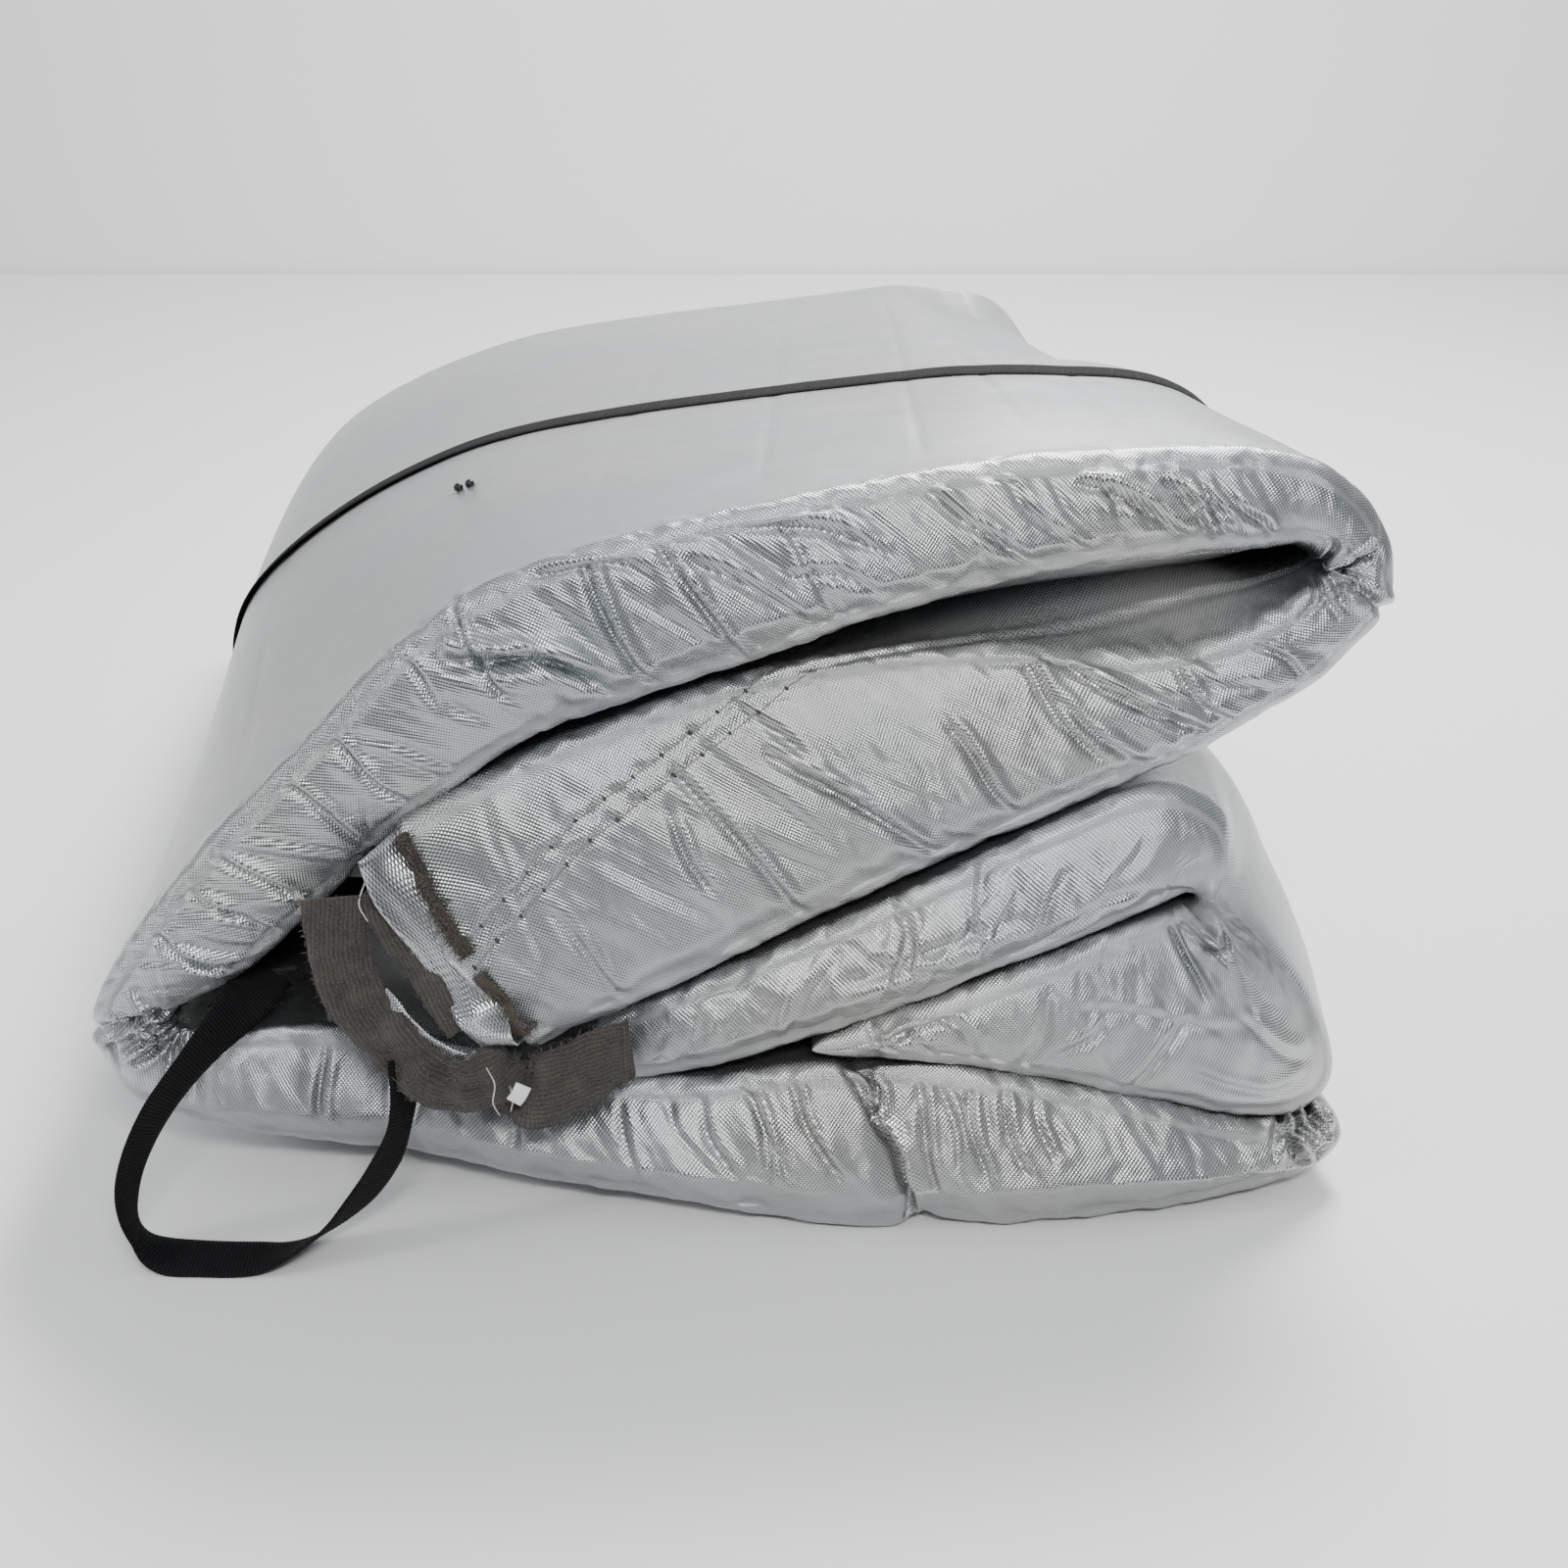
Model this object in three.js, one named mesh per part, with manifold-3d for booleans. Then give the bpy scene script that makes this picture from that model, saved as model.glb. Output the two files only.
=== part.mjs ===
// A padded cover of metallised fabric, folded into a bundle for storage. Millimetres, +Z up.
// The folded front end is at -Y, the bundle's long side lies along Y, and it rests on Z = 0.
// Six foam-filled leaves lie on each other. From the floor up they are the two bottom leaves,
// the inner leaf, the lower lip, the upper lip and the top leaf. The top leaf and the upper lip
// turn on the left fold, and the lower lip and the inner leaf turn on the right fold.
// The two lips are the sewn mouth of the cover, which touch-and-close tape holds shut.
import * as THREE from "three";
import { mergeVertices } from "three/addons/utils/BufferGeometryUtils.js";
import Module from "manifold-3d";

const wasm = await Module();
wasm.setup();

// Driving dimensions of the bundle.
const LENGTH = 650; // front end to back end
const TALL = 288; // height of the front end
const SINK_AT_BACK = 0.18; // share of its height that the bundle has lost at the back end
const TAPER_AT_BACK = 0.36; // share of its right half width that it has lost at the back end
const BULGE = { out: 92, z: 185, spread: 85 }; // how far the left shoulder swells out at the back
const FRONT_LIFT = { slope: 0.12, from: 40 }; // rise of the bottom's left half at the front end
const SKIN = 1.6; // metallised fabric with its lining
const FIT = 1.6; // air between a skin and its foam
const FOAM_EDGE = 2; // rounding of the foam's ends
const MOUTH = 0.3; // a hollow runs this far past the back end, so the sleeve is open there

// Driving dimensions of the trim.
const WEBBING = { width: 20, thick: 1.4 };
const TAPE = { width: 26, thick: 2 };
const BINDING = { width: 9, thick: 1.6 };
const SEAM = { width: 9, thick: 1 };
const LABEL = { width: 6, tall: 11, thick: 0.5 };
const BEAD = 1.6; // radius of a tack bead
const BEAD_PITCH = 4.2;

// Fold lines, by their place in the section and the radius of their gathered roll.
const LEFT_FOLD = { x: -246, z: 58, radius: 20 };
const RIGHT_FOLD = { x: 209, z: 17, radius: 13.5 };
const MIDDLE_FOLD = { x: 214, z: 104, radius: 5 };

const COLOURS = {
  silver: { color: 0xaeb3b8, roughness: 0.38, metalness: 0.75 },
  foam: { color: 0xe6e2d4, roughness: 0.95, metalness: 0 },
  webbing: { color: 0x17181a, roughness: 0.75, metalness: 0 },
  tape: { color: 0x5d5a54, roughness: 0.95, metalness: 0 },
  label: { color: 0xe9e9e6, roughness: 0.8, metalness: 0 },
  bead: { color: 0x0c0c0d, roughness: 0.25, metalness: 0 },
};
const bundle = new THREE.Group();

function place(name, geometry, colour) {
  const mesh = new THREE.Mesh(geometry, new THREE.MeshStandardMaterial(COLOURS[colour]));
  mesh.name = name;
  bundle.add(mesh);
}

const { lerp, clamp, smoothstep } = THREE.MathUtils;

// How far back the front end lies at a place in the section: a shallow V at the floor,
// and a line that runs back towards the right at the top.
function bundleFront(x, z) {
  const atFloor = 40 * Math.min(1, ((x - 47) / 200) ** 2);
  const atTop = 20 + 0.16 * Math.max(-60, x + 175);
  return lerp(atFloor, atTop, clamp(z / TALL, 0, 1));
}

// The upper lip's front end leans back from its lower edge.
function lipFront(x, z) {
  const lowerEdge = 85 + 0.38 * (x + 83);
  return 4 + 0.19 * (x + 83) + 0.3 * (z - lowerEdge);
}

// Carries a point of the straight stack to its place in the settled bundle.
function settle(x, y, z, front = bundleFront) {
  const t = clamp(y / LENGTH, 0, 1);
  const nearShoulder = smoothstep(-x, 0, 120) * Math.exp(-(((z - BULGE.z) / BULGE.spread) ** 2));
  const swell = BULGE.out * Math.sin((t * Math.PI) / 2) * nearShoulder;
  const taper = TAPER_AT_BACK * t * x * smoothstep(x, 0, 150);
  const lift = FRONT_LIFT.slope * Math.max(0, FRONT_LIFT.from - x) * clamp(1 - z / 75, 0, 1);
  const sag = lift * (1 - (1 - t) ** 2);
  return new THREE.Vector3(
    x - swell - taper,
    y + front(x, z) * (1 - t),
    (z - sag) * (1 - SINK_AT_BACK * t),
  );
}

// A closed smooth outline in the XZ section through a few points. The floor flattens it.
function outline(points, count) {
  const curve = new THREE.CatmullRomCurve3(
    points.map(([x, z]) => new THREE.Vector3(x, z, 0)),
    true,
    "centripetal",
  );
  const found = curve.getSpacedPoints(count).slice(0, count);
  return found.map((p) => new THREE.Vector2(p.x, Math.max(0, p.y)));
}

// The same outline moved inwards.
function inset(ring, distance) {
  const turn = THREE.ShapeUtils.isClockWise(ring) ? 1 : -1;
  return ring.map((p, i) => {
    const before = ring[(i + ring.length - 1) % ring.length];
    const after = ring[(i + 1) % ring.length];
    const along = after.clone().sub(before).normalize();
    return new THREE.Vector2(p.x + along.y * turn * distance, p.y - along.x * turn * distance);
  });
}

// Moves every vertex of a geometry by a rule.
function bend(geometry, rule) {
  const p = geometry.attributes.position;
  for (let i = 0; i < p.count; i++) {
    const q = rule(p.getX(i), p.getY(i), p.getZ(i));
    p.setXYZ(i, q.x, q.y, q.z);
  }
  return geometry;
}

// A section extruded from front to back with rounded ends, then settled.
function slab(ring, { from, to, edge, steps = 3, front = bundleFront }) {
  const geometry = new THREE.ExtrudeGeometry(new THREE.Shape(ring), {
    depth: to - from - 2 * edge,
    steps,
    bevelThickness: edge,
    bevelSize: edge * 0.8,
    bevelOffset: -edge * 0.8,
    bevelSegments: 2,
  });
  geometry.rotateX(Math.PI / 2);
  geometry.translate(0, to - edge, 0);
  return bend(geometry, (x, y, z) => settle(x, y, z, front));
}

function solidOf(geometry) {
  const bare = geometry.clone();
  bare.deleteAttribute("normal");
  bare.deleteAttribute("uv");
  const merged = mergeVertices(bare, 1e-4);
  return new wasm.Manifold(
    new wasm.Mesh({
      numProp: 3,
      vertProperties: merged.attributes.position.array,
      triVerts: new Uint32Array(merged.index.array),
    }),
  );
}

function geometryOf(solid) {
  const mesh = solid.getMesh();
  const geometry = new THREE.BufferGeometry();
  geometry.setAttribute("position", new THREE.BufferAttribute(mesh.vertProperties, 3));
  geometry.setIndex(new THREE.BufferAttribute(mesh.triVerts, 1));
  return geometry;
}

// A padded leaf: a fabric sleeve, and the foam that slides into it from the back end.
function paddedLeaf(name, points, { count, edge, front }) {
  const ring = outline(points, count);
  const outside = solidOf(slab(ring, { from: 0, to: LENGTH, edge, front }));
  const hollow = solidOf(slab(inset(ring, SKIN), { from: SKIN, to: LENGTH + MOUTH, edge, front }));
  place(name + "_cover", geometryOf(outside.subtract(hollow)), "silver");
  const core = { from: SKIN + edge, to: LENGTH - edge, edge: FOAM_EDGE, front };
  const foam = solidOf(slab(inset(ring, SKIN + FIT), core));
  place(name + "_foam", geometryOf(foam.intersect(hollow)), "foam");
}

// Each leaf's section at the front end, as x and z.
const TOP_LEAF = [
  [-262, 86], [-216, 148], [-175, 189], [-138, 227], [-110, 250], [-69, 265], [34, 282],
  [120, 288], [170, 284], [184, 266], [170, 252], [118, 249], [25, 229], [-40, 213],
  [-75, 206], [-118, 183], [-163, 142], [-201, 101], [-217, 86], [-242, 84],
];
const UPPER_LIP = [
  [-150, 147], [-105, 174], [-68, 193], [-25, 205], [25, 218], [71, 220], [130, 216],
  [184, 210], [190, 200], [153, 179], [109, 162], [36, 134], [-36, 103], [-76, 89],
  [-92, 91], [-118, 117],
];
const LOWER_LIP = [
  [-62, 84], [-36, 92], [0, 108], [36, 123], [109, 153], [150, 169], [178, 163], [202, 137],
  [211, 113], [196, 113], [165, 125], [147, 126], [91, 111], [36, 92], [-20, 76], [-58, 70],
];
const INNER_LEAF = [
  [27, 79], [60, 93], [110, 108], [150, 121], [182, 109], [208, 94], [221, 60], [220, 41],
  [204, 37], [180, 37], [151, 42], [96, 62], [50, 71], [30, 71],
];
const BOTTOM_LEFT = [
  [-219, 56], [-205, 70], [-169, 75], [-100, 68], [-20, 66], [12, 68], [27, 60], [36, 36],
  [40, 12], [32, 3], [-8, 7], [-75, 18], [-174, 27], [-212, 36],
];
const BOTTOM_RIGHT = [
  [50, 5], [62, 0], [90, 0], [120, 0], [150, 0], [170, 2], [183, 10], [181, 22], [151, 35],
  [96, 55], [62, 64], [44, 62], [46, 40],
];
paddedLeaf("bottom_left", BOTTOM_LEFT, { count: 22, edge: 5 });
paddedLeaf("bottom_right", BOTTOM_RIGHT, { count: 22, edge: 4 });
paddedLeaf("inner_leaf", INNER_LEAF, { count: 22, edge: 3 });
paddedLeaf("lower_lip", LOWER_LIP, { count: 24, edge: 4 });
paddedLeaf("upper_lip", UPPER_LIP, { count: 24, edge: 6, front: lipFront });
paddedLeaf("top_leaf", TOP_LEAF, { count: 30, edge: 8 });

// The gathered fabric that runs from the top leaf round to the upper lip.
const TOP_FOLD = [
  [188, 284], [207, 275], [221, 254], [222, 230], [214, 207], [199, 197], [195, 206],
  [200, 222], [202, 240], [198, 258], [189, 271],
];
place("top_fold", slab(outline(TOP_FOLD, 20), { from: 0, to: LENGTH, edge: 3 }), "silver");

// A gathered fold is a straight roll along its fold line, round as seen from its ends.
function foldRoll(name, { x, z, radius }) {
  const front = settle(x, 0, z);
  const back = settle(x, LENGTH, z);
  const along = back.clone().sub(front);
  const roll = new THREE.CylinderGeometry(radius, radius, along.length(), 20);
  const up = new THREE.Vector3(0, 1, 0);
  roll.applyQuaternion(new THREE.Quaternion().setFromUnitVectors(up, along.normalize()));
  const middle = front.lerp(back, 0.5);
  roll.translate(middle.x, middle.y, middle.z);
  place(name, roll, "silver");
}
foldRoll("left_fold", LEFT_FOLD);
foldRoll("right_fold", RIGHT_FOLD);
foldRoll("middle_fold", MIDDLE_FOLD);

// A flat strip bent along a route. Each route point says where its middle is and which way
// its width runs.
function strip(name, route, { width, thick, steps, colour }) {
  const path = new THREE.CatmullRomCurve3(route.map(({ at }) => new THREE.Vector3(...at)));
  const sides = new THREE.CatmullRomCurve3(route.map(({ wide }) => new THREE.Vector3(...wide)));
  path.curveType = "centripetal";
  const rule = (s, w, n) => {
    const u = clamp(s + 0.5, 0, 1);
    const tangent = path.getTangent(u);
    const side = sides.getPoint(u);
    side.addScaledVector(tangent, -side.dot(tangent)).normalize();
    const normal = tangent.clone().cross(side).normalize();
    return path.getPoint(u).addScaledVector(side, w).addScaledVector(normal, n);
  };
  place(name, bend(new THREE.BoxGeometry(1, width, thick, steps, 1, 1), rule), colour);
}

// The outside of the top leaf and of the fold at its right, from left to right.
const TOP_SURFACE = new THREE.CatmullRomCurve3(
  [
    [-262, 90], [-216, 148], [-175, 189], [-138, 227], [-110, 250], [-69, 265], [34, 282],
    [120, 288], [172, 287], [200, 282], [217, 268], [225, 246], [223, 226],
  ].map(([x, z]) => new THREE.Vector3(x, z, 0)),
);

// A point over that surface: how far along it, at which Y, and how high above the fabric.
function overTop(u, y, above) {
  const p = TOP_SURFACE.getPointAt(u);
  const along = TOP_SURFACE.getTangentAt(u);
  const front = bundleFront(p.x, p.y);
  const straightY = (y - front) / (1 - front / LENGTH);
  return settle(p.x - along.y * above, straightY, p.y + along.x * above);
}

// The webbing strap that crosses the top leaf on a slant. Both its ends are sewn down.
const STRAP = { left: 345, right: 250, above: 3.4, points: 15, from: 0.04, to: 0.96 };
const strapRoute = Array.from({ length: STRAP.points }, (_, i) => {
  const u = lerp(STRAP.from, STRAP.to, i / (STRAP.points - 1));
  const y = lerp(STRAP.left, STRAP.right, u);
  const wide = overTop(u, y + 10, STRAP.above).sub(overTop(u, y - 10, STRAP.above));
  return { at: overTop(u, y, STRAP.above).toArray(), wide: wide.toArray() };
});
strip("top_strap", strapRoute, { ...WEBBING, steps: 28, colour: "webbing" });

// Two small beads tack the top leaf's fabric down beside the strap.
const TACK = { u: 0.36, y: 214 };
for (const [name, side] of [["tack_bead_left", -0.5], ["tack_bead_right", 0.5]]) {
  const bead = new THREE.SphereGeometry(BEAD, 10, 6);
  const at = overTop(TACK.u, TACK.y, BEAD + 0.6);
  bead.translate(at.x + side * BEAD_PITCH, at.y, at.z + side * BEAD_PITCH * 0.5);
  place(name, bead, "bead");
}

// The pull loop leaves the gap over the bottom leaf, lies on the floor and comes back up
// to the mouth. Its ends are sewn where it starts and stops.
const PULL_LOOP = [
  { at: [-200, 50, 86], wide: [1, 0.2, 0.2] },
  { at: [-206, 26, 82], wide: [1, 0, 0.5] },
  { at: [-218, 4, 72], wide: [0.9, -0.1, 0.6] },
  { at: [-232, -8, 58], wide: [0.8, -0.1, 0.6] },
  { at: [-244, -13, 41], wide: [0.8, 0.2, 0.4] },
  { at: [-249, -13, 24], wide: [0.5, 0.9, 0.2] },
  { at: [-246, -10, 10], wide: [-0.1, 1, 0.3] },
  { at: [-236, -12, 4.2], wide: [-0.3, 1, 0.2] },
  { at: [-219, -17, 2.6], wide: [-0.1, 1, 0.1] },
  { at: [-203, -17, 2.6], wide: [0.1, 1, 0.1] },
  { at: [-189, -14, 4.8], wide: [0.3, 1, 0.2] },
  { at: [-176, -9, 10], wide: [0.7, 0.8, 0.3] },
  { at: [-163, -7, 21], wide: [0.9, 0.3, -0.5] },
  { at: [-153, -7, 34], wide: [1, 0.1, -0.4] },
  { at: [-147, -5, 47], wide: [1, 0.2, -0.1] },
  { at: [-144, 0, 58], wide: [1, 0.3, 0] },
];
strip("pull_loop", PULL_LOOP, { ...WEBBING, steps: 36, colour: "webbing" });

// The sewn-down end of the pull loop, inside the gap.
const LOOP_ANCHOR = [
  { at: [-200, 53, 86], wide: [1, 0.2, 0.2] },
  { at: [-196, 80, 84], wide: [1, 0.1, 0] },
  { at: [-192, 112, 81], wide: [1, 0, 0] },
  { at: [-188, 150, 78], wide: [1, 0, 0] },
];
strip("pull_loop_anchor", LOOP_ANCHOR, { ...WEBBING, steps: 6, colour: "webbing" });

// Pieces sewn to the front of the upper lip sit just clear of its fabric.
function onLip(x, z, clear) {
  return [x, lipFront(x, z) - clear, z];
}
const alongLip = (x, z) => [x, lipFront(x, z) - lipFront(0, 0), z];

const seamRoute = [[-110, 119], [-70, 152], [-30, 184], [4, 210]].map(([x, z]) => ({
  at: onLip(x, z, 1.1),
  wide: alongLip(-0.63, 0.78),
}));
strip("felled_seam", seamRoute, { ...SEAM, steps: 6, colour: "silver" });

const upperBinding = [[-137, 146], [-126, 133], [-114, 121]].map(([x, z]) => ({
  at: onLip(x - 4, z - 4, 2.4),
  wide: alongLip(0.72, 0.68),
}));
strip("edge_binding_upper", upperBinding, { ...BINDING, steps: 4, colour: "tape" });

const lowerBinding = [[-109, 112], [-98, 98], [-87, 87]].map(([x, z]) => ({
  at: onLip(x, z, 2.6),
  wide: alongLip(0.78, 0.62),
}));
strip("edge_binding_lower", lowerBinding, { ...BINDING, steps: 4, colour: "tape" });

// Touch-and-close tape: a band round the left end of the mouth, and a tail on the lower lip.
const LOOP_TAPE = [
  { at: [-162, 14, 136], wide: [1, 0, 0.15] },
  { at: [-161, 8, 116], wide: [1, 0, 0.05] },
  { at: [-154, 3, 97], wide: [1, 0, 0.4] },
  { at: [-142, -1, 83], wide: [0.75, 0, 0.65] },
  { at: [-127, -4, 71], wide: [0.6, 0, 0.8] },
  { at: [-112, -5, 62], wide: [0.5, 0, 0.85] },
];
strip("loop_tape", LOOP_TAPE, { ...TAPE, steps: 14, colour: "tape" });

const HOOK_TAIL = [
  { at: [-60, 3, 80], wide: [-0.1, 0, 1] },
  { at: [-72, 0, 79], wide: [-0.15, 0, 1] },
  { at: [-88, -3, 70], wide: [-0.4, 0, 1] },
];
strip("hook_tape_tail", HOOK_TAIL, { ...TAPE, steps: 6, colour: "tape" });

const label = new THREE.BoxGeometry(LABEL.width, LABEL.thick, LABEL.tall);
label.rotateY(0.6);
label.translate(-98, -7.5, 66);
place("care_label", label, "label");

// The bundle's origin is the middle of its footprint, on the floor.
const size = new THREE.Box3().setFromObject(bundle);
const middle = size.getCenter(new THREE.Vector3());
bundle.position.set(-middle.x, -middle.y, -size.min.z);

export default bundle;
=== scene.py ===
# %% [markdown]
# # A folded padded cover
# The object is a long sleeve of silver metallised fabric with foam inside, folded up for
# storage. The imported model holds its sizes, its bodies and its joints. This script dresses
# that model: one cell makes one piece or one finish, and says why it is made that way.

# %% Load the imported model
import math

import bmesh
import bpy
import numpy as np
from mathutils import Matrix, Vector, noise


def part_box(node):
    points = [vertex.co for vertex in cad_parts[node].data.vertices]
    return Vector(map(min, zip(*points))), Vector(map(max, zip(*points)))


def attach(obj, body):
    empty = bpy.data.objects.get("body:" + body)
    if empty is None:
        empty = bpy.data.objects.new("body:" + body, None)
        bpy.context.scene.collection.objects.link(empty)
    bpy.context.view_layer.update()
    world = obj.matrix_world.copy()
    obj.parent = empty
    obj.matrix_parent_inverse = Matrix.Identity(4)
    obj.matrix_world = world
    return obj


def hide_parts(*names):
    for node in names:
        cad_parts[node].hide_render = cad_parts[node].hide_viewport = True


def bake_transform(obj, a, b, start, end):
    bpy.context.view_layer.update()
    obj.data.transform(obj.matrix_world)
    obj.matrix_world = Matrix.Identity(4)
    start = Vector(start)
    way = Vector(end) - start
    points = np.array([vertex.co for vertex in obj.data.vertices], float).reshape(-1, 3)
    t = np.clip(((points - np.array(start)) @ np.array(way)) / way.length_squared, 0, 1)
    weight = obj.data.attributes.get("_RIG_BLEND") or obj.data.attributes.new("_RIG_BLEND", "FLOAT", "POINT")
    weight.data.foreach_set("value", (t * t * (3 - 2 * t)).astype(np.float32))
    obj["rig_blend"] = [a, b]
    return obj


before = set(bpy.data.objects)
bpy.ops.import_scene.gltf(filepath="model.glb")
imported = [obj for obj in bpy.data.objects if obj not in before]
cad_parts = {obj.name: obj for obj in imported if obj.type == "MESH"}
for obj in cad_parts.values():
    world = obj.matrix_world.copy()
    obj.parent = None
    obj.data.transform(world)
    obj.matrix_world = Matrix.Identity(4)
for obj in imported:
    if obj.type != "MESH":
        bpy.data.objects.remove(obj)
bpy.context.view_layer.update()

MM = 0.001

# %% [markdown]
# The bundle was drawn as a straight stack of sections and then settled: it sinks and narrows
# towards the back, and its left shoulder swells out. The same rule is repeated here, so the
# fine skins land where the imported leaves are. The small label gives the shift between the
# drawing's corner and the model's origin.

# %% The settled bundle
LENGTH = 650
TALL = 288
SINK_AT_BACK = 0.18
TAPER_AT_BACK = 0.36
BULGE_OUT, BULGE_Z, BULGE_SPREAD = 92, 185, 85
LIFT_SLOPE, LIFT_FROM = 0.12, 40
LABEL_IN_DRAWING = Vector((-98, -7.5, 66)) * MM

label_low, label_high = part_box("care_label")
SHIFT = np.array((label_low + label_high) / 2 - LABEL_IN_DRAWING)
SHIFT[2] = 0.0


def smooth(v, low, high):
    t = np.clip((v - low) / (high - low), 0, 1)
    return t * t * (3 - 2 * t)


def bundle_front(x, z):
    """How far back the front end lies at a place in the section."""
    at_floor = 40 * np.minimum(1, ((x - 47) / 200) ** 2)
    at_top = 20 + 0.16 * np.maximum(-60, x + 175)
    k = np.clip(z / TALL, 0, 1)
    return at_floor + (at_top - at_floor) * k


def lip_front(x, z):
    """The upper lip's front leans back from its lower edge."""
    lower_edge = 85 + 0.38 * (x + 83)
    return 4 + 0.19 * (x + 83) + 0.3 * (z - lower_edge)


def settle(x, y, z, lip=0.0):
    """From the drawing, in millimetres, to the model, in metres."""
    t = np.clip(y / LENGTH, 0, 1)
    near = smooth(-x, 0, 120) * np.exp(-(((z - BULGE_Z) / BULGE_SPREAD) ** 2))
    swell = BULGE_OUT * np.sin(t * math.pi / 2) * near
    taper = TAPER_AT_BACK * t * x * smooth(x, 0, 150)
    lift = LIFT_SLOPE * np.maximum(0, LIFT_FROM - x) * np.clip(1 - z / 75, 0, 1)
    sag = lift * (1 - (1 - t) ** 2)
    front = bundle_front(x, z) * (1 - lip) + lip_front(x, z) * lip
    moved = np.stack(
        [x - swell - taper, y + front * (1 - t), (z - sag) * (1 - SINK_AT_BACK * t)], -1
    )
    return moved * MM + SHIFT


print("shift of the drawing in metres:", SHIFT.round(4))

# %% [markdown]
# The camera stands a little above the bundle and looks down on its folded front end with a
# 50 mm lens.

# %% Camera
CAMERA_AT = Vector((0.0, -0.695, 0.499)) + Vector(SHIFT)
LOOK_DOWN = math.radians(24)

camera_data = bpy.data.cameras.new("camera")
camera_data.lens = 50
camera_data.sensor_width = 36
camera = bpy.data.objects.new("camera", camera_data)
camera.location = CAMERA_AT
camera.rotation_euler = (math.pi / 2 - LOOK_DOWN, 0, 0)
bpy.context.scene.collection.objects.link(camera)
bpy.context.scene.camera = camera
print("camera at", tuple(round(v, 3) for v in CAMERA_AT))

# %% [markdown]
# ## Shader maths as expressions
# A socket wrapped in this class can be added, subtracted and scaled like a number, and each
# operator adds the Math node that it stands for. `node` makes any other kind of node, and
# `cloth_map`, `place` and `bump` make the groups of nodes that every woven finish needs.

# %% A small class for shader maths


class Shade:
    """One material's nodes. Expressions on its values add Math nodes."""

    def __init__(self, name):
        self.material = bpy.data.materials.new(name)
        self.material.use_nodes = True
        self.tree = self.material.node_tree
        self.bsdf = self.tree.nodes["Principled BSDF"]

    def node(self, kind, settings=None, **sockets):
        made = self.tree.nodes.new(kind)
        for key, value in (settings or {}).items():
            setattr(made, key, value)
        for key, value in sockets.items():
            self.put(made.inputs[key.replace("_", " ")], value)
        return made

    def put(self, socket, value):
        if isinstance(value, Value):
            self.tree.links.new(value.socket, socket)
        elif isinstance(value, bpy.types.NodeSocket):
            self.tree.links.new(value, socket)
        else:
            socket.default_value = value

    def value(self, socket):
        return Value(self, socket)

    def set(self, **sockets):
        for key, value in sockets.items():
            self.put(self.bsdf.inputs[key.replace("_", " ")], value)

    def mix(self, factor, first, second):
        made = self.node("ShaderNodeMix", {"data_type": "RGBA"})
        self.put(made.inputs[0], factor)
        self.put(made.inputs[6], first if not isinstance(first, tuple) else (*first, 1))
        self.put(made.inputs[7], second if not isinstance(second, tuple) else (*second, 1))
        return made.outputs[2]

    def cloth_map(self):
        """Along and across the cloth, in metres, from the mesh's own measured map."""
        uv = self.node("ShaderNodeUVMap", {"uv_map": "cloth"}).outputs[0]
        parts = self.node("ShaderNodeSeparateXYZ", None, Vector=uv)
        return self.value(parts.outputs[0]), self.value(parts.outputs[1])

    def place(self):
        return self.node("ShaderNodeTexCoord").outputs["Object"]

    def bump(self, height, strength, distance):
        made = self.node(
            "ShaderNodeBump", None, Strength=strength, Distance=distance, Height=height
        )
        self.set(Normal=made.outputs[0])

    def noise(self, where, scale, detail=2.0, roughness=0.5):
        made = self.node("ShaderNodeTexNoise", None, Vector=where, Scale=scale, Detail=detail)
        made.inputs["Roughness"].default_value = roughness
        return self.value(made.outputs["Fac"])


class Value:
    """A number on a surface."""

    def __init__(self, shade, socket):
        self.shade, self.socket = shade, socket

    def op(self, operation, other=None):
        made = self.shade.node("ShaderNodeMath", {"operation": operation})
        self.shade.put(made.inputs[0], self)
        if other is not None:
            self.shade.put(made.inputs[1], other)
        return Value(self.shade, made.outputs[0])

    def __add__(self, other):
        return self.op("ADD", other)

    __radd__ = __add__

    def __mul__(self, other):
        return self.op("MULTIPLY", other)

    def __sub__(self, other):
        return self.op("SUBTRACT", other)

    def sin(self):
        return self.op("SINE")

    def clamp(self):
        made = self.shade.node("ShaderNodeClamp", None, Value=self)
        return Value(self.shade, made.outputs[0])


print("shader helpers ready")

# %% [markdown]
# ## Metallised fabric
# The cover is a plain weave with a thin metal coat. Seen close it is a check of threads that
# catch the light in turn, so the weave is a product of two sine waves in the mesh's own
# measured map. It drives the bump, a painted glint that turns the base colour from a dark
# thread to a pale one, and a little of the roughness. Everything larger than a thread is in the
# mesh and not in the bump.

# %% Silver fabric
WEAVE_PITCH = 1.5 * MM
WEAVE_HEIGHT = 0.08 * MM


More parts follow.
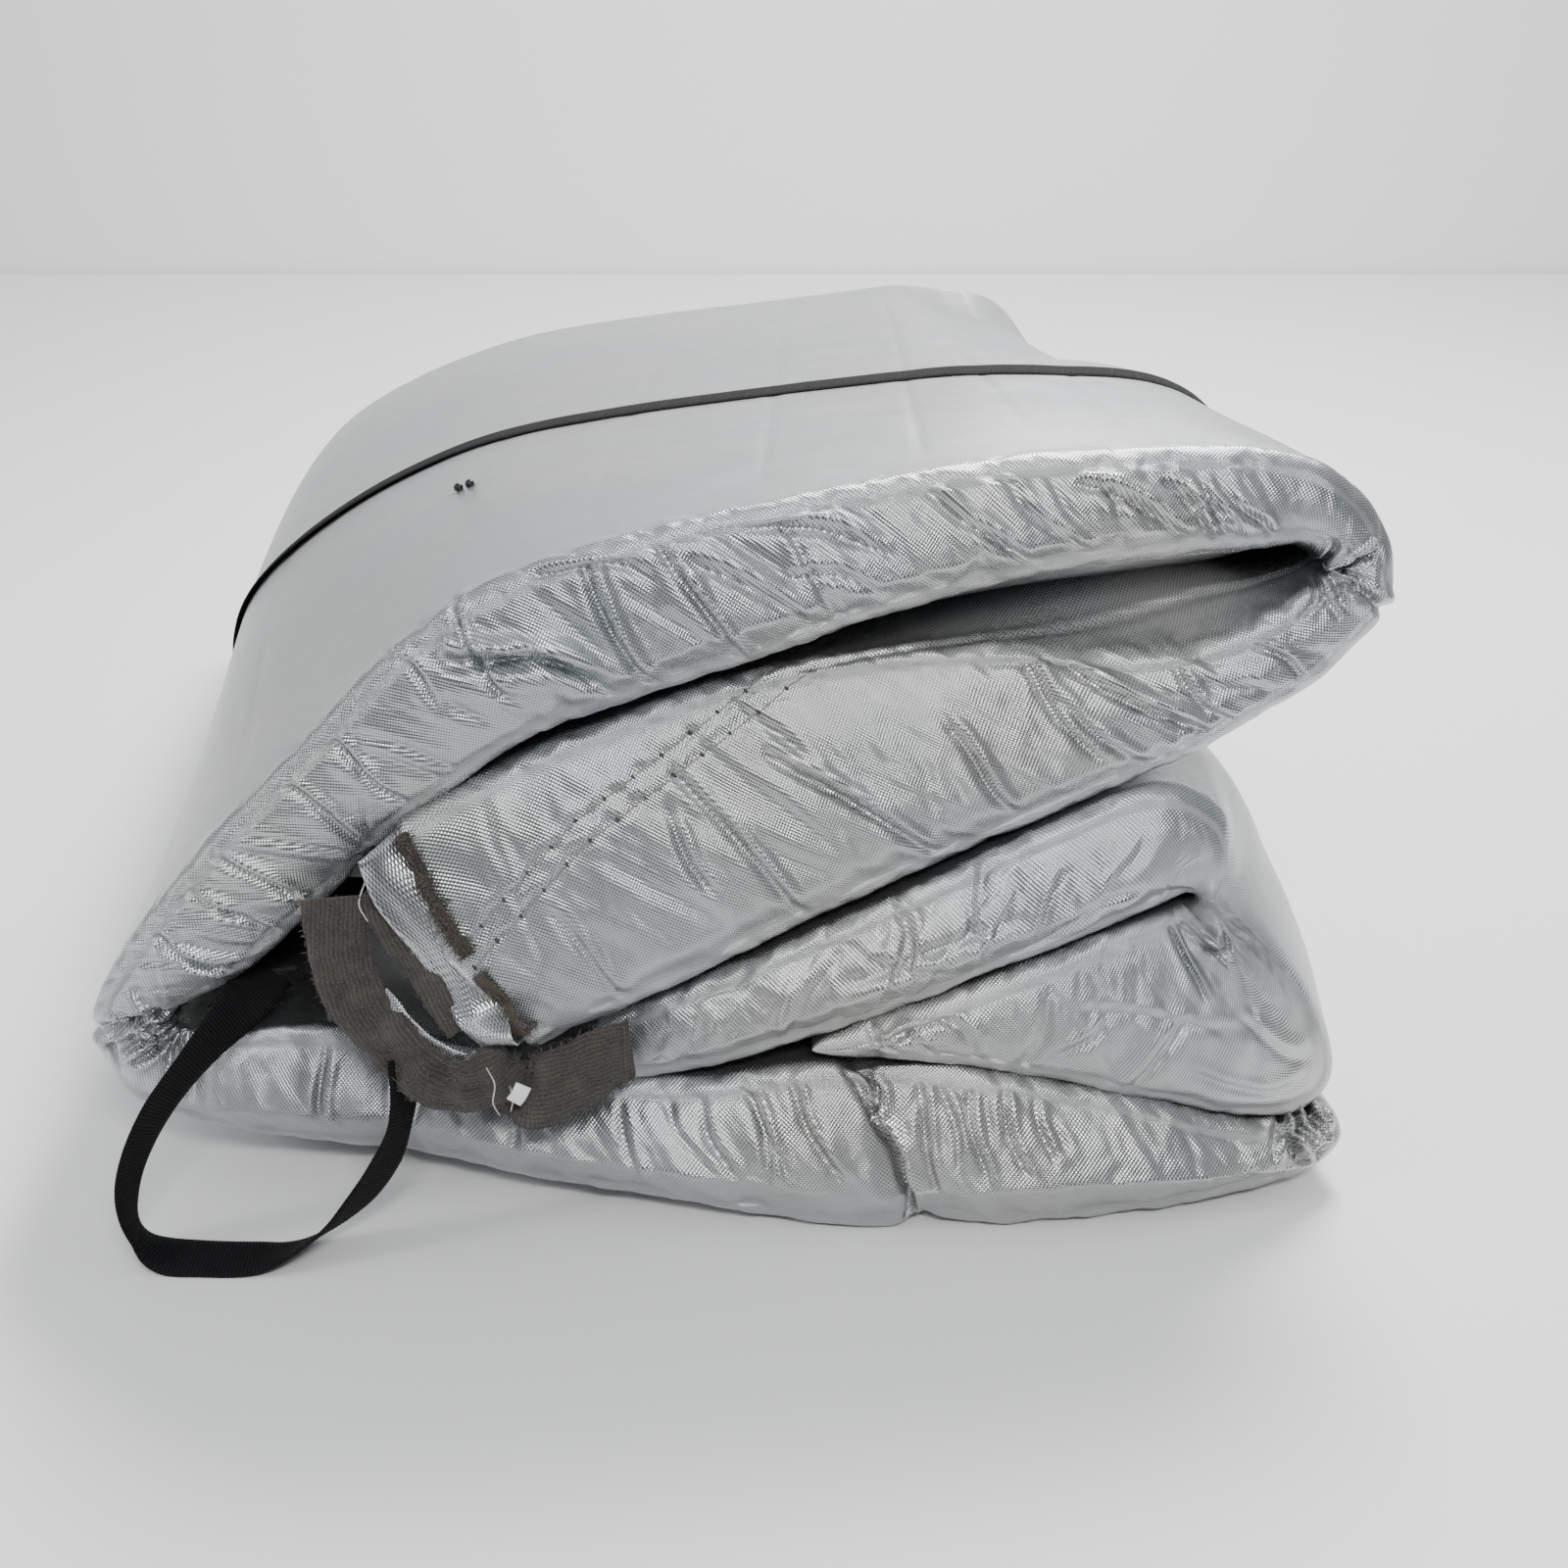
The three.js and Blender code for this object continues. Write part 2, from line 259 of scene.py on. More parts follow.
def silver_fabric(name):
    shade = Shade(name)
    along, across = shade.cloth_map()
    place = shade.place()
    turn = 2 * math.pi / WEAVE_PITCH
    check = (along * turn).sin() * (across * turn).sin()
    # Painted glint: the check lightens the base colour thread by thread, standing in for the light that the
    # threads catch.
    thread_glint = check * 0.5 + 0.5
    painted_tint_cloud = shade.noise(place, 9.0, 4.0, 0.55)
    marks = shade.noise(place, 38.0, 5.0, 0.65)
    worn = ((marks - 0.55) * 5.0).clamp()
    # Painted tint: a cloud mixes, at random places, a cool silver for the blue of painted shade with a
    # warmer, paler one for the warmth of painted highlights.
    pale = shade.mix(painted_tint_cloud, (0.57, 0.635, 0.72), (0.79, 0.755, 0.69))
    dark = shade.mix(painted_tint_cloud, (0.155, 0.172, 0.196), (0.205, 0.195, 0.178))
    tone = (thread_glint * 0.95 + worn * 0.10 + marks * 0.10).clamp()
    shade.set(Base_Color=shade.mix(tone, dark, pale), Metallic=0.90 + marks * 0.09)
    shade.set(Roughness=0.20 + marks * 0.13 + thread_glint * 0.06)
    shade.bump(check, 1.0, WEAVE_HEIGHT)
    return shade.material


SILVER = silver_fabric("silver_fabric")
print("silver fabric made")

# %% [markdown]
# ## The skins
# A folded sleeve is drawn the way it is folded: pairs of points, one on the outer skin and
# one on the inner skin, follow each other round the folds. Between each pair the sleeve is a
# rounded bar that runs from the front end to the back end. The grid keeps its own measured
# map, so the weave follows the cloth round every fold.

# %% Curves and grids


def spline(points, steps):
    """A smooth curve of any number of columns through a few points."""
    p = np.array(points, float)
    p = np.vstack([2 * p[0] - p[1], p, 2 * p[-1] - p[-2]])
    t = np.linspace(0, 1, steps, endpoint=False)[:, None]
    fine = []
    for a, b, c, d in zip(p[:-3], p[1:-2], p[2:-1], p[3:]):
        bend, turn = 2 * a - 5 * b + 4 * c - d, 3 * b - a - 3 * c + d
        fine.append(0.5 * (2 * b + (c - a) * t + bend * t**2 + turn * t**3))
    return np.vstack([*fine, p[-2][None]])


def spaced(fine, run, count):
    """The same curve at evenly spaced distances, and those distances."""
    at = np.linspace(0, run[-1], count)
    return np.stack([np.interp(at, run, column) for column in fine.T], 1), at


def smooth_line(points, count):
    """A smooth line through a few points, evenly spaced along its first three columns."""
    fine = spline(points, 20)
    run = np.r_[0, np.cumsum(np.linalg.norm(np.diff(fine[:, :3], axis=0), axis=1))]
    return spaced(fine, run, count)


def through(pairs, count):
    """A row of pairs through a few drawn ones, evenly spaced between middle and outer line."""
    fine = spline(pairs, 24)
    middle = (fine[:, 0:2] + fine[:, 2:4]) / 2
    outer = fine[:, 0:2]
    step = 0.5 * np.linalg.norm(np.diff(middle, axis=0), axis=1)
    step += 0.5 * np.linalg.norm(np.diff(outer, axis=0), axis=1)
    return spaced(fine, np.r_[0, np.cumsum(step)], count)


EDGE = 7.0  # rounding of the front and back edges, in millimetres
END = 9.0  # rounding of the sleeve's own two ends
CROWN = 0.06  # how far the front band swells, as a share of its width
STEP_OUT = 0.5  # how steeply a front band bulges out to its ridge
DEEP = 70.0  # depth at which a pinched fold has its full thickness
FILL_FROM, FILL_TO = 2, 48  # depths between which a leaf thickens to meet the next one
FRONT_ROWS = 25
CORNER = np.linspace(0, math.pi / 2, 7)[1:-1]
ROWS = np.r_[
    np.linspace(0, 0.07, 13)[:-1], np.linspace(0.07, 0.3, 10)[:-1], np.linspace(0.3, 1, 13)
]


def ring(thickness, slope):
    """Round the bar at one pair: share of the way from inner to outer, depth, and distance
    past the middle of the front band. A positive slope puts a ridge on the band near its
    outer side, a negative one near its inner side, and its size says how far in."""
    r = min(EDGE, thickness * 0.45)
    half = thickness / 2
    k = np.linspace(0, 1, FRONT_ROWS)
    band = (r + k * (thickness - 2 * r)) / thickness
    ridge = 1 - slope if slope > 0 else -slope
    up_to, down_from = k / max(ridge, 1e-6), (1 - k) / max(1 - ridge, 1e-6)
    bulge = STEP_OUT * thickness * abs(slope) * np.minimum(up_to, down_from)
    bulge += CROWN * thickness * (1 - (2 * k - 1) ** 2)
    run = r + ROWS * (LENGTH - 2 * r)
    turn_in = r * (1 - np.cos(CORNER)) / thickness
    turn_out = r * (1 - np.sin(CORNER))
    back = np.linspace(0, 1, 7)
    share = np.r_[
        0 * run, turn_in, band, 1 - turn_in[::-1], 1 + 0 * run, 1 - turn_in,
        1 - (r + back * (thickness - 2 * r)) / thickness, turn_in[::-1],
    ]
    depth = np.r_[
        run[::-1], turn_out, -bulge, turn_out[::-1],
        run, LENGTH - turn_out, LENGTH + 0 * back, LENGTH - turn_out[::-1],
    ]
    past = np.r_[
        -half - run[::-1], r * (CORNER - 1.2) - half,
        (band - 0.5) * thickness, (half - r * (CORNER - 1.2))[::-1], half + run,
        half + LENGTH + r * CORNER, half + LENGTH + thickness * back,
        half + LENGTH + thickness + r * CORNER[::-1],
    ]
    return share, depth, past


class Skin:
    """A folded sleeve on a grid: how far along the folds, by how far round the bar."""

    def __init__(self, pairs, count):
        bars, self.run = through(pairs, count)
        self.bars = bars
        places, shares, pasts, self.thick = [], [], [], []
        for (ox, oz, ix, iz, lip, slope, pinch, fill), at in zip(bars, self.run):
            thick = math.hypot(ox - ix, oz - iz)
            share, depth, past = ring(thick, slope)
            full = np.clip(depth / DEEP, 0, 1) ** 0.6
            narrow = pinch + (1 - pinch) * full
            wide = share * narrow
            wide -= fill / thick * (1 - share) * smooth(depth, FILL_FROM, FILL_TO)
            from_end = min(at, self.run[-1] - at)
            squeeze = math.sqrt(max(0.0, 1 - max(0.0, 1 - from_end / END) ** 2))
            wide = 0.5 + (wide - 0.5) * squeeze
            across, up = ix + (ox - ix) * wide, iz + (oz - iz) * wide
            places.append(np.stack([across, depth, up, lip + 0 * wide], -1))
            shares.append(share)
            pasts.append(past)
            self.thick.append(thick * pinch)
        self.flat = np.array(places)
        self.share = np.array(shares)
        self.past = np.array(pasts)
        self.thick = np.array(self.thick)[:, None]
        self.along = np.broadcast_to(self.run[:, None], self.share.shape)
        self.place = settle(*np.moveaxis(self.flat, -1, 0))

    def normals(self):
        p = self.place
        down = np.gradient(p, axis=0)
        around = (np.roll(p, -1, axis=1) - np.roll(p, 1, axis=1)) / 2
        n = np.cross(around, down)
        size = np.linalg.norm(n, axis=-1, keepdims=True)
        n = n / np.maximum(size, 1e-12)
        middle = p.mean(axis=1, keepdims=True)
        if np.median(np.sum(n * (p - middle), -1)) < 0:
            n = -n
        return n

    def where(self, x, z):
        """Along and past, for a place on the front band."""
        outer, inside = self.bars[:, 0:2], self.bars[:, 2:4]
        bar = outer - inside
        size = np.linalg.norm(bar, axis=1)
        off = np.array([x, z]) - inside
        share = np.sum(off * bar, axis=1) / size**2
        miss = np.abs(off[:, 0] * bar[:, 1] - off[:, 1] * bar[:, 0]) / size
        miss = miss + size * np.maximum(np.abs(share - 0.5) - 0.5, 0)
        best = int(np.argmin(miss))
        return float(self.run[best]), float((share[best] - 0.5) * size[best])

    def mark(self, x0, z0, x1, z1, depth, width):
        """A crease drawn across the front band between two places."""
        return (*self.where(x0, z0), *self.where(x1, z1), depth, width)

    def push(self, amount):
        """Moves the cloth outwards by an amount in millimetres at each grid point."""
        ends = np.clip(np.minimum(self.along, self.run[-1] - self.along) / END, 0, 1)
        self.place = self.place + self.normals() * (amount * ends * MM)[..., None]

    def at(self, x, z):
        """How far along the folds the front band passes a place in the section."""
        middle = (self.bars[:, 0:2] + self.bars[:, 2:4]) / 2
        return float(self.run[np.argmin(np.hypot(middle[:, 0] - x, middle[:, 1] - z))])

    def mesh(self, name):
        n, m = self.share.shape
        i, j = np.meshgrid(np.arange(n - 1), np.arange(m), indexing="ij")
        k = (j + 1) % m
        faces = np.stack([i * m + j, i * m + k, (i + 1) * m + k, (i + 1) * m + j], -1)
        data = bpy.data.meshes.new(name)
        data.from_pydata(self.place.reshape(-1, 3).tolist(), [], faces.reshape(-1, 4).tolist())
        seam = self.past.max() + 3
        u = np.stack([i, i, i + 1, i + 1], -1)
        v = np.stack([j, k, k, j], -1)
        across = self.past[u, v]
        across[:, -1, 1] = seam
        across[:, -1, 2] = seam
        uv = np.stack([self.along[u, v], across], -1) * MM
        layer = data.uv_layers.new(name="cloth")
        layer.data.foreach_set("uv", uv.reshape(-1).astype(np.float32))
        thing = bpy.data.objects.new(name, data)
        bpy.context.scene.collection.objects.link(thing)
        return thing


print("grid helpers ready")

# %% [markdown]
# ## Puckers
# Foam pushes the cloth out and the folds gather it, so the front bands are full of short
# slanting creases. Each crease is a narrow valley with a soft ridge beside it. A crease is
# given by where it starts and ends on the grid, its depth and its width.

# %% Creases
CHANCE = np.random.default_rng(7)


def creases(along, past, marks):
    """The height that a list of creases gives the cloth. One mark is the start (along, past),
    the end (along, past), depth and width, in millimetres."""
    height = np.zeros(len(along))
    order = np.argsort(along)
    ordered = along[order]
    for a0, p0, a1, p1, depth, width in marks:
        reach = 9 * width
        first, last = np.searchsorted(ordered, (min(a0, a1) - reach, max(a0, a1) + reach))
        part = order[first:last]
        part = part[np.abs(past[part] - (p0 + p1) / 2) < abs(p1 - p0) / 2 + reach]
        a, p = along[part] - a0, past[part] - p0
        da, dp = a1 - a0, p1 - p0
        length = math.hypot(da, dp)
        t = (a * da + p * dp) / length**2
        off = (a * dp - p * da) / length
        off = off + 1.1 * width * np.sin(t * 4 + a0)
        body = np.clip(t, 0, 1)
        fade = np.exp(-((np.abs(t - body) * length / (1.5 * width)) ** 2))
        fade *= 0.35 + 0.65 * np.sin(math.pi * np.clip(body, 0.02, 0.98)) ** 0.5
        valley = np.exp(-((off / width) ** 2))
        ridge = np.exp(-(((off - 2.0 * width) / (1.3 * width)) ** 2))
        other = np.exp(-(((off + 2.6 * width) / (2.0 * width)) ** 2))
        height[part] += depth * fade * (0.85 * ridge + 0.25 * other - valley)
    return height


def scattered(skin, start, stop, pitch, slant, depth, width, low=-0.5, high=0.5, over=0.0):
    """Creases across the front band, from one place along the folds to another."""
    marks = []
    at = start
    while at < stop:
        row = int(np.argmin(abs(skin.run - at)))
        thick = float(skin.thick[row, 0])
        first = low + 0.35 * CHANCE.random() * (high - low)
        last = high - 0.35 * CHANCE.random() * (high - low)
        lean = slant * CHANCE.uniform(0.6, 1.4)
        p0, p1 = first * thick, last * thick + over * CHANCE.random()
        mid = (p0 + p1) / 2
        marks.append((
            at + lean * (p0 - mid), p0, at + lean * (p1 - mid), p1,
            depth * CHANCE.uniform(0.35, 1.25), width * CHANCE.uniform(0.7, 1.4),
        ))
        at += pitch * CHANCE.uniform(0.45, 1.6)
    return marks


def rumple(skin, slant, reach, size, seed):
    """Soft crumples, stretched along the slant, that fade out past the front band."""
    a, p = skin.along, skin.past
    lean = a - slant * p
    height = np.zeros(a.shape)
    flat = height.ravel()
    past_edge = np.maximum(np.abs(p) - skin.thick / 2, 0)
    mask = np.exp(-((past_edge / reach) ** 2))
    where = np.flatnonzero(mask.ravel() > 0.03)
    la, pa = lean.ravel()[where], p.ravel()[where]
    for scale, share in ((24.0, 0.65), (11.0, 0.35)):
        for k, x, y in zip(where, la / scale, pa / (2.4 * scale)):
            flat[k] += share * 1.8 * noise.noise(Vector((x, y, seed)))
    return height * mask * size


FOLD_HEIGHT, HOLLOW_HEIGHT = 0.2, 0.6
CRUMPLE_TO, CRUMPLE_FADE = 36, 18  # how far past the band's middle the crumples reach


def crumple(along, past):
    """Small sharp folds and soft hollows on the front band, drawn slantwise."""
    height = np.zeros(len(along))
    fade = np.clip((CRUMPLE_TO - np.abs(past)) / CRUMPLE_FADE, 0, 1)
    for k in np.flatnonzero(fade):
        place = Vector(((along[k] - 0.7 * past[k]) / 21, past[k] / 52, 5.0))
        fold = min(1.0, 4 * abs(noise.fractal(place, 1.0, 2.0, 3)))
        hollow = noise.fractal(place * 0.62 + Vector((9, 4, 1)), 1.0, 2.0, 2)
        height[k] = FOLD_HEIGHT * fold + HOLLOW_HEIGHT * hollow
    return height * fade


print("crease helpers ready")

# %% [markdown]
# ## Cloth
# The cloth is then let go: a light pressure fills it, its own slight slack buckles it near
# the front, and everything further in stays pinned, because the folds hold it there. No
# point may move more than a few millimetres.

# %% Settling the cloth
SIM_FRAMES = 14
FREE_DEPTH = 34.0  # distance past the front band's edge at which the cloth is held fast
MOST = 3.2 * MM  # no point moves further than this
OPENED = 0.04  # how far the pinched ends open before the simulation
POINT_MASS, STIFFNESS, BENDING, PRESSURE = 0.004, 8, 0.05, 5
SLACK = 0.012  # how much longer the cloth's edges would like to be


def let_go(skin, thing):
    """A short cloth simulation on the grid. The result is written back to the grid. The two
    pinched ends are opened a little first, because cloth needs edges that have a length."""
    start = skin.place.copy()
    for end, inside in ((0, 8), (-1, -9)):
        start[end] += OPENED * (start[inside] - start[end])
    thing.data.vertices.foreach_set("co", start.reshape(-1).astype(np.float32))
    thing.data.update()
    past_edge = np.maximum(np.abs(skin.past) - skin.thick / 2, 0)
    hold = 0.12 + 0.88 * smooth(past_edge, 4, FREE_DEPTH)
    ends = np.minimum(skin.along, skin.run[-1] - skin.along)
    hold = np.maximum(hold, 1 - smooth(ends, END, 3 * END))
    group = thing.vertex_groups.new(name="hold")
    for index, weight in enumerate(hold.ravel()):
        group.add([index], float(weight), "REPLACE")
    cloth = thing.modifiers.new("cloth", "CLOTH")
    cloth.settings.quality = 3
    cloth.settings.mass = POINT_MASS
    cloth.settings.tension_stiffness = STIFFNESS
    cloth.settings.compression_stiffness = STIFFNESS
    cloth.settings.bending_stiffness = BENDING
    cloth.settings.vertex_group_mass = "hold"
    cloth.settings.pin_stiffness = 1.0
    cloth.settings.shrink_min = -SLACK
    cloth.settings.use_pressure = True
    cloth.settings.uniform_pressure_force = PRESSURE
    cloth.settings.effector_weights.gravity = 0
    cloth.collision_settings.use_collision = False
    scene = bpy.context.scene
    for frame_number in range(1, SIM_FRAMES + 1):
        scene.frame_set(frame_number)
    solved = thing.evaluated_get(bpy.context.evaluated_depsgraph_get()).data
    moved = np.empty(len(solved.vertices) * 3, np.float32)
    solved.vertices.foreach_get("co", moved)
    shift = moved.reshape(start.shape) - start
    size = np.linalg.norm(shift, axis=-1, keepdims=True)
    shift *= np.minimum(1, MOST / np.maximum(size, 1e-9))
    shift[~np.isfinite(shift)] = 0
    skin.place = skin.place + shift
    thing.modifiers.remove(cloth)
    thing.vertex_groups.clear()
    scene.frame_set(1)
    free = size[hold < 0.5] / MM
    mean, most = round(float(free.mean()), 2), round(float(free.max()), 2)
    print(thing.name, "moves", mean, "mm at the front, most", most)


FLOOR_GAP = 0.2 * MM


def finish_skin(skin, thing, marks):
    """Writes the grid to the mesh, welds the two pinched ends, rounds it once more, and then
    presses the creases in. The map says where on the cloth each point is."""
    thing.data.vertices.foreach_set("co", skin.place.reshape(-1).astype(np.float32))
    shape = bmesh.new()
    shape.from_mesh(thing.data)
    bmesh.ops.remove_doubles(shape, verts=shape.verts, dist=2e-5)
    bmesh.ops.dissolve_degenerate(shape, edges=shape.edges, dist=1e-6)
    bmesh.ops.recalc_face_normals(shape, faces=shape.faces)
    shape.to_mesh(thing.data)
    shape.free()
    rounder = thing.modifiers.new("rounder", "SUBSURF")
    rounder.levels = 1
    with bpy.context.temp_override(object=thing, active_object=thing):
        bpy.ops.object.modifier_apply(modifier="rounder")
    data = thing.data
    uv = np.empty(len(data.loops) * 2, np.float32)
    data.uv_layers["cloth"].data.foreach_get("uv", uv)
    corner = np.empty(len(data.loops), np.int32)
    data.loops.foreach_get("vertex_index", corner)
    on_cloth = np.zeros((len(data.vertices), 2))
    on_cloth[corner] = uv.reshape(-1, 2) / MM
    along, past = on_cloth.T
    ends = np.clip(np.minimum(along, skin.run[-1] - along) / END, 0, 1)
    height = (creases(along, past, marks) + crumple(along, past)) * ends
    normal = np.empty(len(data.vertices) * 3, np.float32)
    data.vertices.foreach_get("normal", normal)
    place = np.empty(len(data.vertices) * 3, np.float32)
    data.vertices.foreach_get("co", place)
    place = place.reshape(-1, 3) + normal.reshape(-1, 3) * (height * MM)[:, None]
    place[:, 2] = np.maximum(place[:, 2], FLOOR_GAP)
    data.vertices.foreach_set("co", place.reshape(-1).astype(np.float32))
    data.update()
    data.shade_smooth()
    print(thing.name, len(data.vertices), "points, deepest crease", round(float(height.min()), 1))


print("cloth helpers ready")

# %% [markdown]
# The outer skin starts at the mouth's upper lip, runs round the top fold, over the top leaf,
# down round the left fold and along the floor to the small curl at the right.

# %% Outer skin
OUTER_SKIN = [
    # outer x, z; inner x, z; share of the lip's lean; where the ridge is, as in ring();
    # thickness left at the front; extra thickness further in
    (-98, 77, -150, 157, 1, 0, 1, 0), (-76, 86, -114, 177, 1, 0, 1, 0),
    (-36, 102, -68, 196, 1, 0.08, 1, 2), (36, 133, -5, 214, 1, 0.1, 1, 4),
    (109, 161, 68, 220, 1, 0.12, 1, 14), (150, 177, 130, 216, 1, 0.1, 1, 26),
    (184, 194, 166, 222, 0.8, 0, 1, 24), (207, 208, 186, 232, 0.4, 0, 1, 11),
    (226, 230, 202, 241, 0.1, 0, 1, 3), (225, 254, 204, 246, 0, 0, 1, 3),
    (209, 275, 192, 253, 0, 0, 1, 7), (182, 287, 174, 253, 0, -0.1, 1, 12),
    (140, 290, 140, 252, 0, -0.2, 1, 14), (85, 289, 87, 246, 0, -0.2, 1, 12),
    (25, 282, 32, 234, 0, -0.2, 1, 8), (-30, 273, -18, 218, 0, -0.2, 1, 4),
    (-69, 264, -52, 208, 0, -0.12, 1, 3), (-105, 251, -80, 198, 0, -0.06, 1, 3),
    (-138, 228, -110, 181, 0, -0.04, 1, 2), (-175, 190, -145, 153, 0, -0.04, 1, 2),
    (-216, 148, -181, 117, 0, -0.04, 1, 2), (-247, 110, -211, 91, 0, -0.04, 1, 2),
    (-265, 80, -233, 80, 0, 0, 1, 0), (-266, 58, -236, 72, 0, 0, 1, 0),
    (-256, 38, -228, 69, 0, 0.1, 1, 0), (-232, 25, -212, 69, 0, 0.3, 1, 0),
    (-200, 17, -190, 70, 0, 0.4, 1, 2), (-150, 12, -150, 68, 0, 0.42, 1, 2),
    (-90, 9, -95, 60, 0, 0.42, 1, 2), (-30, 6, -40, 59, 0, 0.4, 1, 2),
    (12, 2, 5, 66, 0, 0.3, 1, 2), (36, 0.5, 26, 67, 0, 0.22, 1, 2),
    (60, 0.5, 52, 66, 0, 0.25, 1, 2), (100, 1, 92, 60, 0, 0.38, 1, 2),
    (145, 2, 140, 47, 0, 0.45, 1, 2), (176, 4, 172, 36, 0, 0.42, 1, 1),
    (203, 7, 193, 32, 0, 0.2, 1, 0), (220, 17, 205, 33, 0, 0, 1, 0),
    (221, 30, 211, 37, 0, 0, 1, 0),
]
outer = Skin(OUTER_SKIN, 860)
outer_skin = outer.mesh("outer_skin")
print("outer skin:", outer.share.size, "points,", round(outer.run[-1]), "mm of folds")

# %% [markdown]
# The inner skin is the lower lip and the wedge under it. They are one sleeve that turns
# round the middle fold at the right, where the crease is pinched at the front and fills out
# further back.

# %% Inner skin
INNER_SKIN = [
    (10, 71.5, 10, 75.5, 0, 0, 1, 0), (24, 69, 21, 79.5, 0, 0, 1, 0), (40, 68, 37, 85, 0, 0, 1, 0),
    (66, 65, 62, 93.5, 0, 0, 1, 0), (100, 58, 96, 104.5, 0, 0, 1, 0),
    (145, 45, 125, 114, 0, 0.05, 1, 0), (180, 35, 141, 119, 0, 0.08, 1, 0),
    (205, 33, 148, 121, 0, 0.05, 0.98, 0), (222, 42, 151, 122.5, 0, 0, 0.9, 0),
    (228, 62, 152, 122, 0, 0, 0.64, 0), (219, 88, 154, 123, 0, 0, 0.42, 0),
    (207, 112, 156, 124, 0, 0, 0.28, 0), (197, 133, 156, 125, 0, 0, 0.25, 0),
    (185, 150, 153, 126, 0, 0, 0.45, 0), (168, 163, 148, 125, 0, -0.08, 0.8, 0),
    (140, 168, 135, 119.5, 0, -0.18, 1, 0), (100, 156, 96, 106, 0, -0.24, 1, 0),
    (55, 137, 50, 90, 0, -0.26, 1, 0), (0, 114, 0, 73, 0, -0.26, 1, 0),
    (-35, 99, -33, 63, 0, -0.2, 1, 0), (-58, 88.5, -56, 57, 0, -0.1, 1, 0),
    (-76, 80, -74, 54, 0, 0, 1, 0),
]
inner = Skin(INNER_SKIN, 340)
inner_skin = inner.mesh("inner_skin")
print("inner skin:", inner.share.size, "points,", round(inner.run[-1]), "mm of folds")

# %% [markdown]
# Where the creases go. The lip's creases slant one way and the top leaf's the other, because
# the cloth is drawn round the folds. The folds themselves gather into short deep puckers.

# %% Creasing the outer skin
lip_left, lip_right = outer.at(-100, 125), outer.at(190, 212)
top_fold_at, leaf_right = outer.at(213, 240), outer.at(165, 272)
leaf_left, left_fold_at = outer.at(-225, 110), outer.at(-250, 66)
valley_at, curl_at = outer.at(44, 33), outer.at(208, 24)

LONG_CREASES = [
    # x, z where it starts and ends on the top leaf's band, then depth and width
    (-121, 256, -102, 214, 2.2, 1.8), (-72, 258, -47, 213, 3.0, 2.0),
    (-44, 266, -15, 220, 3.0, 1.9), (-37, 260, 13, 234, 2.0, 2.0),
    (-90, 262, -49, 254, 1.8, 2.2), (-13, 271, 35, 260, 2.2, 2.0), (3, 253, 35, 248, 1.6, 2.0),
    (-118, 228, -66, 214, 5.5, 3.0), (-144, 232, -122, 208, 1.5, 1.6),
    (-166, 193, -140, 172, 2.2, 1.8), (-184, 178, -153, 152, 2.0, 1.8),
    (-209, 152, -182, 128, 2.4, 1.9), (-222, 136, -188, 112, 1.8, 1.7),
    (-236, 116, -212, 98, 2.2, 1.8), (52, 281, 85, 254, 2.2, 1.8), (77, 284, 110, 253, 1.8, 1.8),
    (106, 280, 146, 260, 2.4, 1.9), (138, 278, 157, 257, 2.2, 1.6), (146, 277, 160, 260, 1.8, 1.5),
    (153, 276, 163, 262, 2.4, 1.5), (164, 272, 176, 258, 2.2, 1.5),
    # and on the lip's band
    (89, 212, 113, 182, 2.2, 1.8), (106, 213, 157, 186, 2.8, 2.0), (144, 210, 165, 190, 1.8, 1.7),
    (175, 219, 192, 207, 2.0, 1.6), (-5, 186, 55, 148, 3.2, 2.2), (-39, 180, 7, 127, 2.2, 2.0),
    (60, 191, 84, 165, 2.6, 2.0), (90, 210, 129, 179, 1.6, 2.2), (-44, 165, -26, 140, 1.8, 1.8),
    (-86, 131, -58, 101, 1.4, 1.8), (-20, 205, 10, 180, 1.4, 2.2),
    # the bottom's short puckers by the valley
    (50, 60, 60, 22, 2.0, 1.7), (60, 60, 67, 34, 1.6, 1.5), (71, 56, 76, 30, 2.0, 1.6),
    (82, 57, 90, 32, 1.8, 1.6), (96, 52, 100, 34, 1.2, 1.5), (-15, 60, -4, 30, 2.2, 1.8),
    (0, 64, 19, 30, 2.0, 1.8), (22, 67, 37, 45, 2.0, 1.6), (-30, 52, -22, 30, 1.4, 1.8),
    (-179, 60, -178, 32, 1.8, 2.0), (-146, 52, -144, 20, 1.2, 2.2), (-60, 50, -57, 22, 1.4, 2.0),
    (-105, 50, -104, 20, 1.0, 2.2),
]
LIP_SEAM = [(-116, 117), (-74, 161), (-36, 187), (11, 219)]
SEAM_GAP, STITCH = 8.2, 12.4


def seam_rows():
    """The seam's two rows, as runs of stitches: lists of the knots' places, in the section."""
    route = np.array(LIP_SEAM, float)
    run = np.r_[0, np.cumsum(np.linalg.norm(np.diff(route, axis=0), axis=1))]
    at = np.arange(0, run[-1], STITCH)
    line = np.stack([np.interp(at, run, route[:, k]) for k in (0, 1)], 1)
    way = np.gradient(line, axis=0)
    side = np.stack([-way[:, 1], way[:, 0]], 1) / np.linalg.norm(way, axis=1, keepdims=True)
    return [line + side * SEAM_GAP / 2, line - side * SEAM_GAP / 2]


